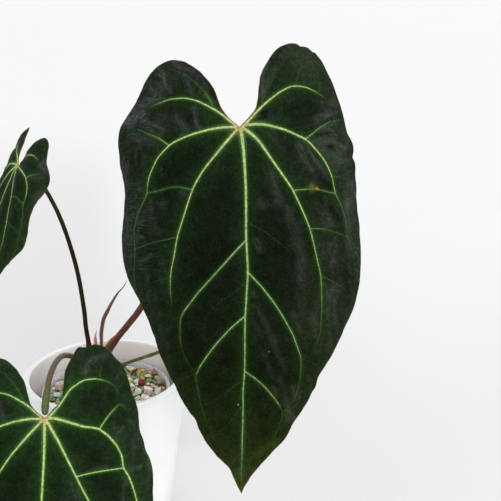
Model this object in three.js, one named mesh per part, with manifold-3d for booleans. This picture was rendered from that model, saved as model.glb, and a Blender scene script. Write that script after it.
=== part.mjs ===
// A potted velvet-leaved anthurium: a white cover pot, a clear inner pot, a mineral
// substrate with loose stones, a short stem with roots, three heart-shaped leaves on
// petioles, a furled new leaf, a cataphyll and one flower stalk.
// Millimetres, +Z up. The origin is the centre of the cover pot's foot, on the ground.
import * as THREE from 'three';
import { ConvexGeometry } from 'three/addons/geometries/ConvexGeometry.js';
import { mergeVertices } from 'three/addons/utils/BufferGeometryUtils.js';
import Module from 'manifold-3d';

const wasm = await Module();
wasm.setup();

// ---- driving dimensions (mm) ----
const POT_HEIGHT = 146;
const POT_RIM_R = 75; // outside, at the rim
const POT_FOOT_R = 55.6; // outside, at the ground
const POT_WALL = 7.2;
const POT_FLOOR = 8;
const POT_LIP_ROUND = 2.2;
const LINER_TOP = 130;
const LINER_RIM_R = 59;
const LINER_FOOT_R = 46;
const LINER_WALL = 1.3;
const DRAIN_HOLES = 6;
const DRAIN_HOLE_R = 4;
const BED_TOP = 125.5; // top of the substrate at its edge
const BED_CROWN = 2.5; // how much higher it lies in the middle
const GAP = 0.35; // clearance kept between pieces that touch
const CROWN = [-10.6, 0, 143]; // where the petioles meet the stem
const STEM_R = 9;
const BLADE_T = 1.4; // blade thickness
const PETIOLE_R = 2.5;
const GENICULUM_R = 3.3; // the swollen joint under each blade
const LATHE_STEPS = 56;

// Blade outlines, in mm on the blade: u to the right, v down the midrib from the sinus.
// They start at the sinus, go up the left lobe, down to the tip and back up the right.
const MAIN_OUTLINE = [
  [0, 0], [-7.2, -5.4], [-12.3, -11.4], [-15.9, -19.2], [-18.8, -27.2], [-22.5, -32.8], [-26.8, -37.8], [-31.9, -42.6],
  [-37.5, -46.8], [-41.8, -49.1], [-51.1, -51.3], [-55.7, -50.6], [-61.3, -48.4], [-64.9, -45.7], [-69.6, -40.5], [-75.9, -29.3],
  [-82.2, -18.1], [-90.5, -9], [-96.8, -0.7], [-99.3, 5.9], [-99.9, 10.5], [-99.1, 18.6], [-98.3, 26.7], [-95, 35.7],
  [-92.3, 46.9], [-92.4, 54.9], [-92.9, 62.9], [-95.1, 74.7], [-97, 86.7], [-97.2, 93.9], [-96.6, 101.1], [-94.8, 108.1],
  [-90.5, 116.3], [-85.2, 123.9], [-80, 131.5], [-79.3, 133.7], [-75.3, 139.3], [-71.9, 145.2], [-69.5, 151.6], [-66.9, 158],
  [-65.1, 164.9], [-62.9, 171.6], [-57.8, 182], [-54.4, 190.7], [-51.3, 194.2], [-47, 202.2], [-42.6, 210.2], [-38.5, 215.5],
  [-34.1, 220.5], [-31.9, 227.3], [-28.7, 233.6], [-25.3, 239.8], [-18.2, 249.6], [-13.2, 255.1], [-8.4, 260.8], [-3.6, 271.2],
  [0.8, 281.7], [1.6, 276.9], [4.5, 271], [7.9, 265.4], [14.9, 258.1], [21.5, 250.4], [28.5, 243.2], [35, 235.5],
  [40.7, 225.1], [46.4, 216.5], [52.1, 207.8], [55.3, 201.7], [58.9, 195.9], [60.9, 189.1], [67, 181.1], [73.5, 173.3],
  [77.7, 166.6], [82.1, 159.9], [86.2, 151.6], [90.6, 143.4], [94.2, 134.3], [96.3, 125.1], [98.2, 115.8], [99.1, 107.9],
  [99.6, 99.9], [99.3, 88.5], [98.3, 80.3], [97.6, 72.1], [95.4, 62.8], [93.7, 53.3], [93.1, 44.1], [91.8, 35.1],
  [91.4, 25.9], [89.1, 21.5], [90.1, 17], [89.6, 12.5], [87.9, 8.4], [83.9, 2.6], [81, -8.1], [78, -18.6],
  [74.5, -27], [70.8, -35.2], [66.4, -42.9], [62.3, -50.9], [58.4, -55.6], [55, -58.3], [48.9, -60.9], [40.2, -62.7],
  [35.8, -62.3], [27.7, -57.5], [20.7, -48.2], [15.3, -38.4], [14.6, -36.3], [14.4, -26.2], [13.3, -16.2], [12.6, -14.1],
  [6.9, -7.5], [1.1, -1],
];

// The front-left blade: a shorter, broader heart.
const FRONT_OUTLINE = [
  [0, 0], [-6.3, -5.1], [-10.9, -10.8], [-14, -18.2], [-16.6, -25.9], [-23.6, -36], [-33, -44.5], [-36.8, -46.6],
  [-45, -48.7], [-49.1, -48], [-53.9, -46], [-61.2, -38.4], [-66.8, -27.8], [-72.4, -17.2], [-79.1, -9.2], [-85.2, -0.7],
  [-87.4, 4.3], [-87.9, 7.6], [-86.5, 19.4], [-83.4, 26.6], [-81.2, 34.1], [-81.7, 45.7], [-83.7, 54.3], [-85.4, 63],
  [-85, 73.5], [-83.4, 78.6], [-79.7, 84.6], [-73.9, 91.4], [-68.7, 98.5], [-63.2, 105.5], [-58.9, 114.8], [-55.3, 124.7],
  [-51.4, 131.6], [-47.9, 138.7], [-45.1, 141.2], [-41.3, 147], [-37.5, 152.8], [-30, 160.3], [-28.1, 165.2], [-22.3, 174.3],
  [-16, 181.5], [-7.4, 189.6], [-4, 195.5], [-0.7, 201.5], [0.2, 205], [2.3, 199.5], [6.8, 192.9], [14.6, 185.7],
  [22.6, 178.5], [30.1, 170.9], [36.7, 161], [44, 151.5], [50.6, 141.6], [52.3, 136.5], [57.6, 130.5], [63.1, 124.6],
  [70.5, 114.6], [74.1, 108.3], [77.9, 102.1], [80.9, 95.2], [82.7, 88.3], [84.4, 81.3], [85.5, 69.2], [85.1, 59.6],
  [84.1, 50], [84.3, 43.4], [83.1, 34.7], [80.9, 28.5], [77.6, 22.6], [75.4, 14], [72.6, 7.8], [70.9, -0.3],
  [69.7, -8.4], [67.6, -15.4], [63.8, -24.2], [60.6, -33.2], [56.5, -42], [49.9, -48.6], [43.1, -55.1], [38.9, -57.5],
  [34.1, -58.1], [25.3, -55], [21.2, -55], [15.7, -44.7], [12.6, -36.1], [12.3, -24.5], [10.8, -13.5], [6, -7.1],
  [1, -0.9],
];

// How each blade hangs. lean is the forward tilt of its midrib at the sinus in degrees,
// leanDown and leanUp how that tilt changes per mm below and above the sinus, bend the
// curvature across the blade (1/mm), valley the depth and width of the sunken midrib,
// and wave the height, length and two phases of the slow waves toward the margins.
const MAIN = {
  sinus: [126.2, -100, 391.8], yaw: 0, roll: 0,
  lean: 15, leanDown: -0.045, leanUp: -0.26, bend: 0.0066,
  valley: [3.5, 16], wave: [2.2, 88, 0.4, 2.6],
};
const FRONT = {
  sinus: [-18.4, -150, 184.4], yaw: 0, roll: 0,
  lean: 38, leanDown: -0.04, leanUp: -0.2, bend: 0.0062,
  valley: [3.0, 14], wave: [2.0, 76, 1.2, 3.9],
};
const LEFT = {
  sinus: [-78, 46, 330], yaw: -58, roll: -6,
  lean: 30, leanDown: -0.08, leanUp: -0.3, bend: 0.008,
  valley: [2.5, 12], wave: [1.6, 62, 2.2, 0.7],
};
const LEFT_SIZE = 0.62; // the left blade against the main one

const RAD = Math.PI / 180;

// ---- helpers ----
function toSolid(geometry) {
  const g = geometry.clone();
  for (const name of Object.keys(g.attributes)) if (name !== 'position') g.deleteAttribute(name);
  const m = mergeVertices(g, 1e-4);
  const p = m.attributes.position.array;
  const idx = [];
  for (let i = 0; i < m.index.count; i += 3) {
    const [a, b, c] = [m.index.array[i], m.index.array[i + 1], m.index.array[i + 2]];
    if (a !== b && b !== c && c !== a) idx.push(a, b, c);
  }
  let volume = 0;
  for (let i = 0; i < idx.length; i += 3) {
    const [a, b, c] = [idx[i] * 3, idx[i + 1] * 3, idx[i + 2] * 3];
    volume += p[a] * (p[b + 1] * p[c + 2] - p[b + 2] * p[c + 1])
      - p[a + 1] * (p[b] * p[c + 2] - p[b + 2] * p[c])
      + p[a + 2] * (p[b] * p[c + 1] - p[b + 1] * p[c]);
  }
  if (volume < 0) for (let i = 0; i < idx.length; i += 3) [idx[i + 1], idx[i + 2]] = [idx[i + 2], idx[i + 1]];
  return new wasm.Manifold(new wasm.Mesh({
    numProp: 3, vertProperties: new Float32Array(p), triVerts: new Uint32Array(idx),
  }));
}

function toGeometry(solid) {
  const mesh = solid.getMesh();
  const g = new THREE.BufferGeometry();
  g.setAttribute('position', new THREE.BufferAttribute(new Float32Array(mesh.vertProperties), 3));
  g.setIndex(new THREE.BufferAttribute(new Uint32Array(mesh.triVerts), 1));
  g.computeVertexNormals();
  return g;
}

// Turns a closed profile of [radius, height] points about +Z.
function turned(profile, steps = LATHE_STEPS) {
  const g = new THREE.LatheGeometry(profile.map(([r, z]) => new THREE.Vector2(r, z)), steps);
  g.rotateX(Math.PI / 2);
  return toSolid(g);
}

function interp(table, t) {
  for (let i = 1; i < table.length; i++) {
    if (t <= table[i][0]) {
      const [t0, a] = table[i - 1], [t1, b] = table[i];
      return a + (b - a) * (t - t0) / Math.max(1e-9, t1 - t0);
    }
  }
  return table[table.length - 1][1];
}

// A tapering stem along a smooth curve. radii is a table of [share of the length, radius];
// extra is added to every radius, for the clearance cut into a neighbour.
function stem(points, radii, { sides = 10, steps = 24, extra = 0 } = {}) {
  const curve = new THREE.CatmullRomCurve3(points.map((p) => new THREE.Vector3(...p)), false, 'centripetal');
  const frames = curve.computeFrenetFrames(steps, false);
  const v = [], idx = [];
  for (let i = 0; i <= steps; i++) {
    const c = curve.getPointAt(i / steps);
    if (extra && i === 0) c.addScaledVector(frames.tangents[0], -extra);
    if (extra && i === steps) c.addScaledVector(frames.tangents[steps], extra);
    const r = interp(radii, i / steps) + extra;
    for (let k = 0; k < sides; k++) {
      const a = (k / sides) * 2 * Math.PI;
      const p = c.clone()
        .addScaledVector(frames.normals[i], r * Math.cos(a))
        .addScaledVector(frames.binormals[i], r * Math.sin(a));
      v.push(p.x, p.y, p.z);
    }
  }
  for (let i = 0; i < steps; i++) {
    for (let k = 0; k < sides; k++) {
      const a = i * sides + k, b = i * sides + (k + 1) % sides;
      idx.push(a, b, b + sides, a, b + sides, a + sides);
    }
  }
  for (let k = 1; k < sides - 1; k++) {
    idx.push(0, k + 1, k);
    const e = steps * sides;
    idx.push(e, e + k, e + k + 1);
  }
  const g = new THREE.BufferGeometry();
  g.setAttribute('position', new THREE.Float32BufferAttribute(v, 3));
  g.setIndex(idx);
  return toSolid(g);
}

// A point of a blade's middle surface.
function onBlade(B, u, v) {
  const a0 = B.lean * RAD, b = (v > 0 ? B.leanDown : B.leanUp) * RAD;
  const a = a0 + b * v;
  const cy = -(Math.cos(a0) - Math.cos(a)) / b;
  const cz = -(Math.sin(a) - Math.sin(a0)) / b;
  const th = B.bend * u;
  const [vh, vs] = B.valley, [wh, wl, pl, pr] = B.wave;
  const back = (1 - Math.cos(th)) / B.bend + vh * Math.exp(-((u / vs) ** 2))
    + wh * (u / 80) ** 2 * Math.sin(2 * Math.PI * v / wl + (u < 0 ? pl : pr));
  const p = new THREE.Vector3(
    Math.sin(th) / B.bend,
    cy + back * Math.cos(a) - vh * Math.cos(a0),
    cz - back * Math.sin(a) + vh * Math.sin(a0),
  );
  const cr = Math.cos(B.roll * RAD), sr = Math.sin(B.roll * RAD);
  p.set(cr * p.x + sr * p.z, p.y, -sr * p.x + cr * p.z);
  p.applyAxisAngle(new THREE.Vector3(0, 0, 1), B.yaw * RAD);
  return p.add(new THREE.Vector3(...B.sinus));
}

// The upper side's normal there.
function bladeNormal(B, u, v) {
  const e = 0.5;
  const du = onBlade(B, u + e, v).sub(onBlade(B, u - e, v));
  const dv = onBlade(B, u, v + e).sub(onBlade(B, u, v - e));
  return dv.cross(du).normalize();
}

function inside(poly, x, y) {
  let hit = false;
  for (let i = 0, j = poly.length - 1; i < poly.length; j = i++) {
    const [xi, yi] = poly[i], [xj, yj] = poly[j];
    if ((yi > y) !== (yj > y) && x < ((xj - xi) * (y - yi)) / (yj - yi) + xi) hit = !hit;
  }
  return hit;
}

function edgeDistance(poly, x, y) {
  let best = Infinity;
  for (let i = 0, j = poly.length - 1; i < poly.length; j = i++) {
    const [ax, ay] = poly[j], [bx, by] = poly[i];
    const t = Math.min(1, Math.max(0, ((x - ax) * (bx - ax) + (y - ay) * (by - ay)) / ((bx - ax) ** 2 + (by - ay) ** 2 + 1e-12)));
    best = Math.min(best, Math.hypot(x - ax - t * (bx - ax), y - ay - t * (by - ay)));
  }
  return best;
}

// Delaunay triangles of flat points, kept where their middle is inside the outline.
function triangulate(points, outline) {
  const n = points.length;
  const all = [...points, [-1e4, -1e4], [1e4, -1e4], [0, 2e4]];
  const circle = (a, b, c) => {
    const [ax, ay] = all[a], [bx, by] = all[b], [cx, cy] = all[c];
    const d = 2 * (ax * (by - cy) + bx * (cy - ay) + cx * (ay - by));
    const ux = ((ax * ax + ay * ay) * (by - cy) + (bx * bx + by * by) * (cy - ay) + (cx * cx + cy * cy) * (ay - by)) / d;
    const uy = ((ax * ax + ay * ay) * (cx - bx) + (bx * bx + by * by) * (ax - cx) + (cx * cx + cy * cy) * (bx - ax)) / d;
    return { t: [a, b, c], x: ux, y: uy, r: (ax - ux) ** 2 + (ay - uy) ** 2 };
  };
  let tris = [circle(n, n + 1, n + 2)];
  for (let i = 0; i < n; i++) {
    const [x, y] = all[i];
    const edges = new Map();
    const keep = [];
    for (const c of tris) {
      if ((x - c.x) ** 2 + (y - c.y) ** 2 < c.r - 1e-9) {
        for (const [a, b] of [[0, 1], [1, 2], [2, 0]]) {
          const [p, q] = [c.t[a], c.t[b]];
          const key = p < q ? `${p},${q}` : `${q},${p}`;
          edges.set(key, edges.has(key) ? null : [p, q]);
        }
      } else keep.push(c);
    }
    for (const e of edges.values()) if (e) keep.push(circle(e[0], e[1], i));
    tris = keep;
  }
  const out = [];
  for (const { t } of tris) {
    if (t.some((k) => k >= n)) continue;
    const [a, b, c] = t.map((k) => points[k]);
    if (!inside(outline, (a[0] + b[0] + c[0]) / 3, (a[1] + b[1] + c[1]) / 3)) continue;
    const area = (b[0] - a[0]) * (c[1] - a[1]) - (c[0] - a[0]) * (b[1] - a[1]);
    if (Math.abs(area) < 1e-6) continue;
    out.push(area > 0 ? t : [t[0], t[2], t[1]]);
  }
  return out;
}

// A blade as a thin curved solid.
function blade(B, outline, spacing, thickness = BLADE_T) {
  const points = outline.map((p) => [...p]);
  const edge = points.length;
  const row = spacing * Math.sqrt(3) / 2;
  let k = 0;
  for (let v = -80; v < 300; v += row, k++) {
    for (let u = -110 + (k % 2) * spacing / 2; u < 110; u += spacing) {
      if (inside(outline, u, v) && edgeDistance(outline, u, v) > spacing * 0.55) {
        points.push([u + 0.013 * Math.sin(7 * v + 3 * u), v + 0.011 * Math.cos(5 * u + v)]);
      }
    }
  }
  const tris = triangulate(points, outline);
  const v = [], idx = [], n = points.length;
  for (const side of [0.5, -0.5]) {
    for (const [a, b] of points) {
      const p = onBlade(B, a, b).addScaledVector(bladeNormal(B, a, b), side * thickness);
      v.push(p.x, p.y, p.z);
    }
  }
  for (const [a, b, c] of tris) {
    idx.push(a, b, c);
    idx.push(a + n, c + n, b + n);
  }
  // the rim closes the edges that only one triangle uses
  const seen = new Set();
  for (const [a, b, c] of tris) for (const [p, q] of [[a, b], [b, c], [c, a]]) seen.add(`${p},${q}`);
  let rim = 0;
  for (const key of seen) {
    const [p, q] = key.split(',').map(Number);
    if (seen.has(`${q},${p}`)) continue;
    if (p >= edge || q >= edge) throw new Error('a blade edge is not on its outline');
    idx.push(q, p, p + n, q, p + n, q + n);
    rim++;
  }
  if (rim !== edge) throw new Error(`blade rim has ${rim} edges for ${edge} outline points`);
  const g = new THREE.BufferGeometry();
  g.setAttribute('position', new THREE.Float32BufferAttribute(v, 3));
  g.setIndex(idx);
  return toSolid(g);
}

// Small repeatable numbers for the stones.
function sequence(seed) {
  let s = seed;
  return () => {
    s = (s * 1664525 + 1013904223) % 4294967296;
    return s / 4294967296;
  };
}

// An angular stone: the hull of points on a squashed ball.
function stone(seed, size, at, turn, extra = 0) {
  const rnd = sequence(seed);
  const pts = [];
  for (let i = 0; i < 15; i++) {
    const z = 2 * ((i + 0.5) / 15) - 1, a = i * 2.39996 + rnd() * 0.9;
    const r = Math.sqrt(1 - z * z), k = 0.82 + 0.3 * rnd();
    pts.push(new THREE.Vector3(r * Math.cos(a) * k, r * Math.sin(a) * k, z * k));
  }
  const g = new ConvexGeometry(pts);
  g.scale(size[0] / 2 + extra, size[1] / 2 + extra, size[2] / 2 + extra);
  g.rotateX(turn[0] * RAD);
  g.rotateY(turn[1] * RAD);
  g.rotateZ(turn[2] * RAD);
  g.translate(...at);
  return toSolid(g);
}

// ---- the pots ----
const slope = (POT_RIM_R - POT_FOOT_R) / POT_HEIGHT;
const outerR = (z) => POT_FOOT_R + slope * z;
const innerR = (z) => outerR(z) - POT_WALL;
const lip = [];
for (let i = 0; i <= 3; i++) {
  const a = (i / 3) * Math.PI / 2;
  lip.push([outerR(POT_HEIGHT) - POT_LIP_ROUND + POT_LIP_ROUND * Math.cos(a), POT_HEIGHT - POT_LIP_ROUND + POT_LIP_ROUND * Math.sin(a)]);
}
for (let i = 0; i <= 3; i++) {
  const a = Math.PI / 2 + (i / 3) * Math.PI / 2;
  lip.push([innerR(POT_HEIGHT) + POT_LIP_ROUND + POT_LIP_ROUND * Math.cos(a), POT_HEIGHT - POT_LIP_ROUND + POT_LIP_ROUND * Math.sin(a)]);
}
const coverPot = turned([
  [0, 0], [POT_FOOT_R - 2, 0], [POT_FOOT_R - 0.5, 0.7], [outerR(2.2), 2.2], [outerR(74), 74],
  ...lip,
  [innerR(76), 76], [innerR(POT_FLOOR + 6), POT_FLOOR + 6], [innerR(POT_FLOOR) - 2, POT_FLOOR], [0, POT_FLOOR],
]);

const linerFoot = POT_FLOOR + GAP;
const linerR = (z) => LINER_FOOT_R + (LINER_RIM_R - 2.2 - LINER_FOOT_R) * (z - linerFoot) / (LINER_TOP - linerFoot);
let liner = turned([
  [0, linerFoot], [LINER_FOOT_R - 1, linerFoot], [linerR(linerFoot + 1), linerFoot + 1],
  [linerR(LINER_TOP - 4), LINER_TOP - 4], [LINER_RIM_R, LINER_TOP - 3.4], [LINER_RIM_R, LINER_TOP - 0.6],
  [LINER_RIM_R - 0.6, LINER_TOP], [linerR(LINER_TOP) - LINER_WALL + 0.4, LINER_TOP],
  [linerR(LINER_TOP - 5) - LINER_WALL, LINER_TOP - 5],
  [linerR(linerFoot + 2) - LINER_WALL, linerFoot + LINER_WALL + 0.8], [linerR(linerFoot + 2) - LINER_WALL - 1, linerFoot + LINER_WALL], [0, linerFoot + LINER_WALL],
], 44);
for (let i = 0; i < DRAIN_HOLES; i++) {
  const a = (i / DRAIN_HOLES) * 2 * Math.PI + 0.3;
  const g = new THREE.CylinderGeometry(DRAIN_HOLE_R, DRAIN_HOLE_R, 12, 14);
  g.rotateX(Math.PI / 2);
  g.translate(30 * Math.cos(a), 30 * Math.sin(a), linerFoot);
  liner = liner.subtract(toSolid(g));
}

// ---- stem, roots, petioles and flower stalk ----
const [CX, CY, CZ] = CROWN;
const ROOTS = [
  { a: 20, out: 22, drop: 58, z: 127 }, { a: 78, out: 18, drop: 70, z: 124 }, { a: 140, out: 24, drop: 52, z: 128 },
  { a: 200, out: 19, drop: 66, z: 125 }, { a: 262, out: 23, drop: 60, z: 129 }, { a: 318, out: 17, drop: 74, z: 123 },
];
function stemAndRoots(extra) {
  let s = stem([[CX + 3, CY + 1, 84], [CX + 1, CY + 1, 104], [CX, CY, 124], [CX, CY, CZ]],
    [[0, STEM_R - 3], [0.3, STEM_R - 0.5], [0.7, STEM_R], [0.92, STEM_R - 0.6], [1, STEM_R - 3]], { sides: 12, steps: 8, extra });
  for (const r of ROOTS) {
    const c = Math.cos(r.a * RAD), q = Math.sin(r.a * RAD);
    s = s.add(stem([
      [CX + 2 * c, CY + 2 * q, r.z + 3], [CX + 9 * c, CY + 9 * q, r.z + 2], [CX + (8 + r.out * 0.5) * c, CY + (8 + r.out * 0.5) * q, r.z - 7],
      [CX + (8 + r.out * 0.85) * c, CY + (8 + r.out * 0.85) * q, r.z - 28], [CX + (8 + r.out) * c - 3 * q, CY + (8 + r.out) * q + 3 * c, r.z - r.drop],
    ], [[0, 2.4], [0.6, 2.0], [1, 1.2]], { sides: 7, steps: 7, extra }));
  }
  return s;
}

// Petioles: each path ends behind its blade's sinus.
const PETIOLES = {
  petiole_main: {
    path: [[CX + 3.5, CY - 2.5, CZ - 2], [0.2, -3.6, 160], [5.8, -5, 172], [22.6, -14, 195.9], [39.1, -24, 219.9], [62, -38.5, 262], [86, -54.5, 318], [107, -74, 362], [120.5, -90.5, 384], [125.6, -97.6, 389.4]],
    radii: [[0, 4.4], [0.05, 4.2], [0.09, 3.7], [0.14, 3.3], [0.17, PETIOLE_R], [0.93, PETIOLE_R - 0.2], [0.97, GENICULUM_R], [1, GENICULUM_R - 0.4]], steps: 30,
  },
  petiole_front: {
    path: [[CX - 4, CY - 5, CZ - 3], [-17, -14, 158], [-20.5, -40, 181], [-21, -80, 199], [-19.8, -120, 202], [-18.8, -141, 192], [-18.5, -147.4, 184.6]],
    radii: [[0, 4.2], [0.08, 4.0], [0.2, PETIOLE_R - 0.2], [0.88, PETIOLE_R - 0.3], [0.94, GENICULUM_R - 0.3], [1, GENICULUM_R - 0.6]], steps: 20,
  },
  petiole_left: {
    path: [[CX - 3.4, CY + 3.6, CZ - 2], [-15.1, 7.4, 157], [-15.6, 10, 168.8], [-18.5, 16, 183.5], [-20.4, 22, 198.9], [-27, 30, 240], [-41, 38, 286], [-58, 45.5, 316], [-69.5, 49.5, 327], [-75.9, 47.4, 328.4]],
    radii: [[0, 4.0], [0.06, 3.8], [0.16, 2.1], [0.9, 1.9], [0.95, 2.8], [1, 2.5]], steps: 24,
  },
};
const PEDUNCLE = {
  path: [[CX + 5, CY - 0.5 - 3, CZ + 5.2], [4, -6.2, 151.6], [18.3, -10, 158.5], [34.6, -14, 166.3], [51.5, -18, 174.4], [76, -22, 190], [99, -23, 216], [112, -20, 250]],
  radii: [[0, 1.8], [0.1, 1.55], [1, 1.5]], steps: 16,
};
const NEW_LEAF = {
  path: [[CX + 2.6, CY + 4.4, CZ - 2], [-5, 4.4, 158], [-2.8, 4, 170.9], [-2.4, 5, 182], [-1.2, 5, 189.6], [0.9, 4, 197.6], [5.1, 2, 206], [9.3, 0, 214.2], [13.6, -3, 221.6], [16.9, -5, 226.7], [21.1, -8, 231.7], [23.8, -10, 235.8], [25.8, -12, 240.2]],
  radii: [[0, 3.2], [0.12, 2.6], [0.22, 1.7], [0.45, 1.9], [0.62, 1.7], [0.8, 1.3], [0.93, 0.7], [1, 0.4]], steps: 24,
};
const CATAPHYLL = {
  path: [[CX - 0.6, CY - 0.4, CZ + 0.4], [-9.6, -1, 158], [-7.1, 0, 173.5], [-5.6, -1, 188.1]],
  radii: [[0, 2.6], [0.35, 2.5], [0.65, 1.7], [0.9, 0.8], [1, 0.35]], steps: 14,
};
const build = (d, extra = 0) => stem(d.path, d.radii, { steps: d.steps, extra });

// What is left of a piece after its neighbours' clearances are cut from it.
function largest(solid) {
  return solid.decompose().sort((a, b) => b.volume() - a.volume())[0];
}

const bladeMain = blade(MAIN, MAIN_OUTLINE, 13.5);
const bladeFront = blade(FRONT, FRONT_OUTLINE, 13.5);
const leftOutline = MAIN_OUTLINE.map(([u, v]) => [-u * LEFT_SIZE, v * LEFT_SIZE]).reverse();
leftOutline.unshift(leftOutline.pop());
const bladeLeft = blade(LEFT, leftOutline, 12);

const stems = {};
const crownOrder = ['petiole_main', 'petiole_front', 'petiole_left'];
const taken = [];
for (const name of crownOrder) {
  let s = build(PETIOLES[name]);
  for (const t of taken) s = s.subtract(build(t, GAP));
  stems[name] = largest(s);
  taken.push(PETIOLES[name]);
}
stems.petiole_main = largest(stems.petiole_main.subtract(blade(MAIN, MAIN_OUTLINE, 13.5, BLADE_T + 2 * GAP)));
stems.petiole_front = largest(stems.petiole_front.subtract(blade(FRONT, FRONT_OUTLINE, 13.5, BLADE_T + 2 * GAP)));
stems.petiole_left = largest(stems.petiole_left.subtract(blade(LEFT, leftOutline, 12, BLADE_T + 2 * GAP)));
for (const [name, d] of [['new_leaf', NEW_LEAF], ['peduncle', PEDUNCLE], ['cataphyll', CATAPHYLL]]) {
  let s = build(d);
  for (const t of taken) s = s.subtract(build(t, GAP));
  stems[name] = largest(s);
  taken.push(d);
}
let stock = stemAndRoots(0);
for (const t of taken) stock = stock.subtract(build(t, GAP));
stock = largest(stock);

// The flower: a spadix that carries on from its stalk, and a narrow spathe behind it.
const spadixPath = [[112.6, -19.8, 251.2], [115, -18.5, 262], [117, -16, 290], [116, -13, 322]];
const spadix = stem(spadixPath, [[0, 1.9], [0.1, 2.7], [0.5, 2.8], [0.85, 2.1], [1, 0.9]], { steps: 12 });
const SPATHE = {
  sinus: [112.8, -16.2, 250], yaw: 0, roll: 5,
  lean: 188, leanDown: 0.45, leanUp: 0.45, bend: 0.06,
  valley: [0.3, 3], wave: [0, 60, 0, 0],
};
const spatheOutline = [];
for (let i = 0; i <= 12; i++) {
  const t = i / 12;
  spatheOutline.push([-8.5 * Math.sin(Math.PI * Math.min(1, t ** 0.7)) ** 0.8 - 0.4 * (1 - t), 68 * t]);
}
for (let i = 11; i >= 0; i--) {
  const t = i / 12;
  spatheOutline.push([8.5 * Math.sin(Math.PI * Math.min(1, t ** 0.7)) ** 0.8 + 0.4 * (1 - t), 68 * t]);
}
let spathe = blade(SPATHE, spatheOutline, 5, 1.0);
spathe = spathe.subtract(stem(spadixPath, [[0, 1.9], [0.1, 2.7], [0.5, 2.8], [0.85, 2.1], [1, 0.9]], { steps: 12, extra: GAP }))
  .subtract(build(PEDUNCLE, GAP));
spathe = largest(spathe);

// ---- substrate and the larger stones lying in it ----
const STONES = [
  { name: 'stone_pumice_large', size: [13, 11, 10], at: [41.1, -5, 130], turn: [10, 20, 15], colour: 0xd9c6bd },
  { name: 'stone_pumice_small', size: [9, 10, 10], at: [50.6, -8, 129.4], turn: [25, -10, 40], colour: 0xd6bfb4 },
  { name: 'stone_lava', size: [9.5, 9, 7], at: [32.2, 7.6, 130], turn: [12, 8, 30], colour: 0x8c3a28 },
  { name: 'stone_sage', size: [12, 9, 7], at: [17.5, 37, 129.6], turn: [8, 14, 60], colour: 0xb5b295 },
  { name: 'stone_white', size: [11, 9, 7], at: [30, -10, 130.2], turn: [15, 10, 100], colour: 0xc9d1c8 },
  { name: 'stone_grey', size: [10, 10, 8], at: [48, 14.5, 129.2], turn: [-10, 16, 20], colour: 0xa9a48e },
  { name: 'stone_ochre', size: [9, 6, 6], at: [41.5, 33, 128.8], turn: [0, 20, -40], colour: 0xa9762f },
  { name: 'stone_back', size: [11, 9, 8], at: [-22, 34, 129.4], turn: [14, 0, 10], colour: 0xb9a88c },
  { name: 'stone_left', size: [12, 10, 8], at: [-44, 4, 129.2], turn: [0, 18, 75], colour: 0xc7b7a6 },
  { name: 'stone_front', size: [10, 9, 8], at: [-2, -38, 129.6], turn: [20, 5, 140], colour: 0x9fa391 },
];
const bedFoot = linerFoot + LINER_WALL + GAP;
const bedR = (z) => linerR(z) - LINER_WALL - GAP - 0.15;
let bed = turned([
  [0, bedFoot], [bedR(bedFoot) - 2.6, bedFoot], [bedR(bedFoot + 2.4) - 0.4, bedFoot + 2.4], [bedR(68) - 0.1, 68], [bedR(BED_TOP) - 0.3, BED_TOP],
  [46, BED_TOP + 0.7], [34, BED_TOP + 1.2], [20, BED_TOP + BED_CROWN - 0.4], [0, BED_TOP + BED_CROWN],
], 36);
bed = bed.subtract(stemAndRoots(GAP + 0.1));
for (const s of STONES) bed = bed.subtract(stone(s.name.length * 97 + s.size[0] * 13, s.size, s.at, s.turn, GAP));
bed = largest(bed);

// ---- the scene ----
const potted = new THREE.Group();
function piece(name, solid, colour, roughness, options = {}) {
  const { group = potted, ...material } = options;
  const mesh = new THREE.Mesh(toGeometry(solid), new THREE.MeshStandardMaterial({ color: colour, roughness, metalness: 0, ...material }));
  mesh.name = name;
  group.add(mesh);
  return mesh;
}
const holder = new THREE.Group();
const plant = new THREE.Group();
potted.add(holder, plant);
piece('cover_pot', coverPot, 0xf4f5f7, 0.15, { group: holder });
piece('nursery_pot', liner, 0xc9c4cc, 0.2, { group: holder, transparent: true, opacity: 0.45 });
piece('substrate', bed, 0x8d8a76, 0.95, { group: holder });
for (const s of STONES) {
  piece(s.name, stone(s.name.length * 97 + s.size[0] * 13, s.size, s.at, s.turn), s.colour, 0.9, { group: holder });
}
piece('stem_and_roots', stock, 0x6b5a3c, 0.8, { group: plant });
piece('petiole_main', stems.petiole_main, 0x5f3b32, 0.5, { group: plant });
piece('petiole_front', stems.petiole_front, 0x5a3a2f, 0.5, { group: plant });
piece('petiole_left', stems.petiole_left, 0x3a241f, 0.5, { group: plant });
piece('blade_main', bladeMain, 0x14260f, 0.6, { group: plant });
piece('blade_front', bladeFront, 0x173012, 0.6, { group: plant });
piece('blade_left', bladeLeft, 0x162a11, 0.6, { group: plant });
piece('new_leaf', stems.new_leaf, 0x6b4034, 0.5, { group: plant });
piece('cataphyll', stems.cataphyll, 0xb06a4c, 0.55, { group: plant });
piece('peduncle', stems.peduncle, 0x55502a, 0.5, { group: plant });
piece('spathe', spathe, 0x5d6b35, 0.5, { group: plant });
piece('spadix', spadix, 0x4f4a2e, 0.7, { group: plant });

export default potted;
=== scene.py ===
# Looks of a potted velvet-leaved anthurium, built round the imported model.
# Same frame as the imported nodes: metres, +Z up. Numbers in the tables below are millimetres.
import math

import bmesh
import bpy
import numpy as np
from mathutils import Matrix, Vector
from mathutils.geometry import delaunay_2d_cdt


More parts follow.
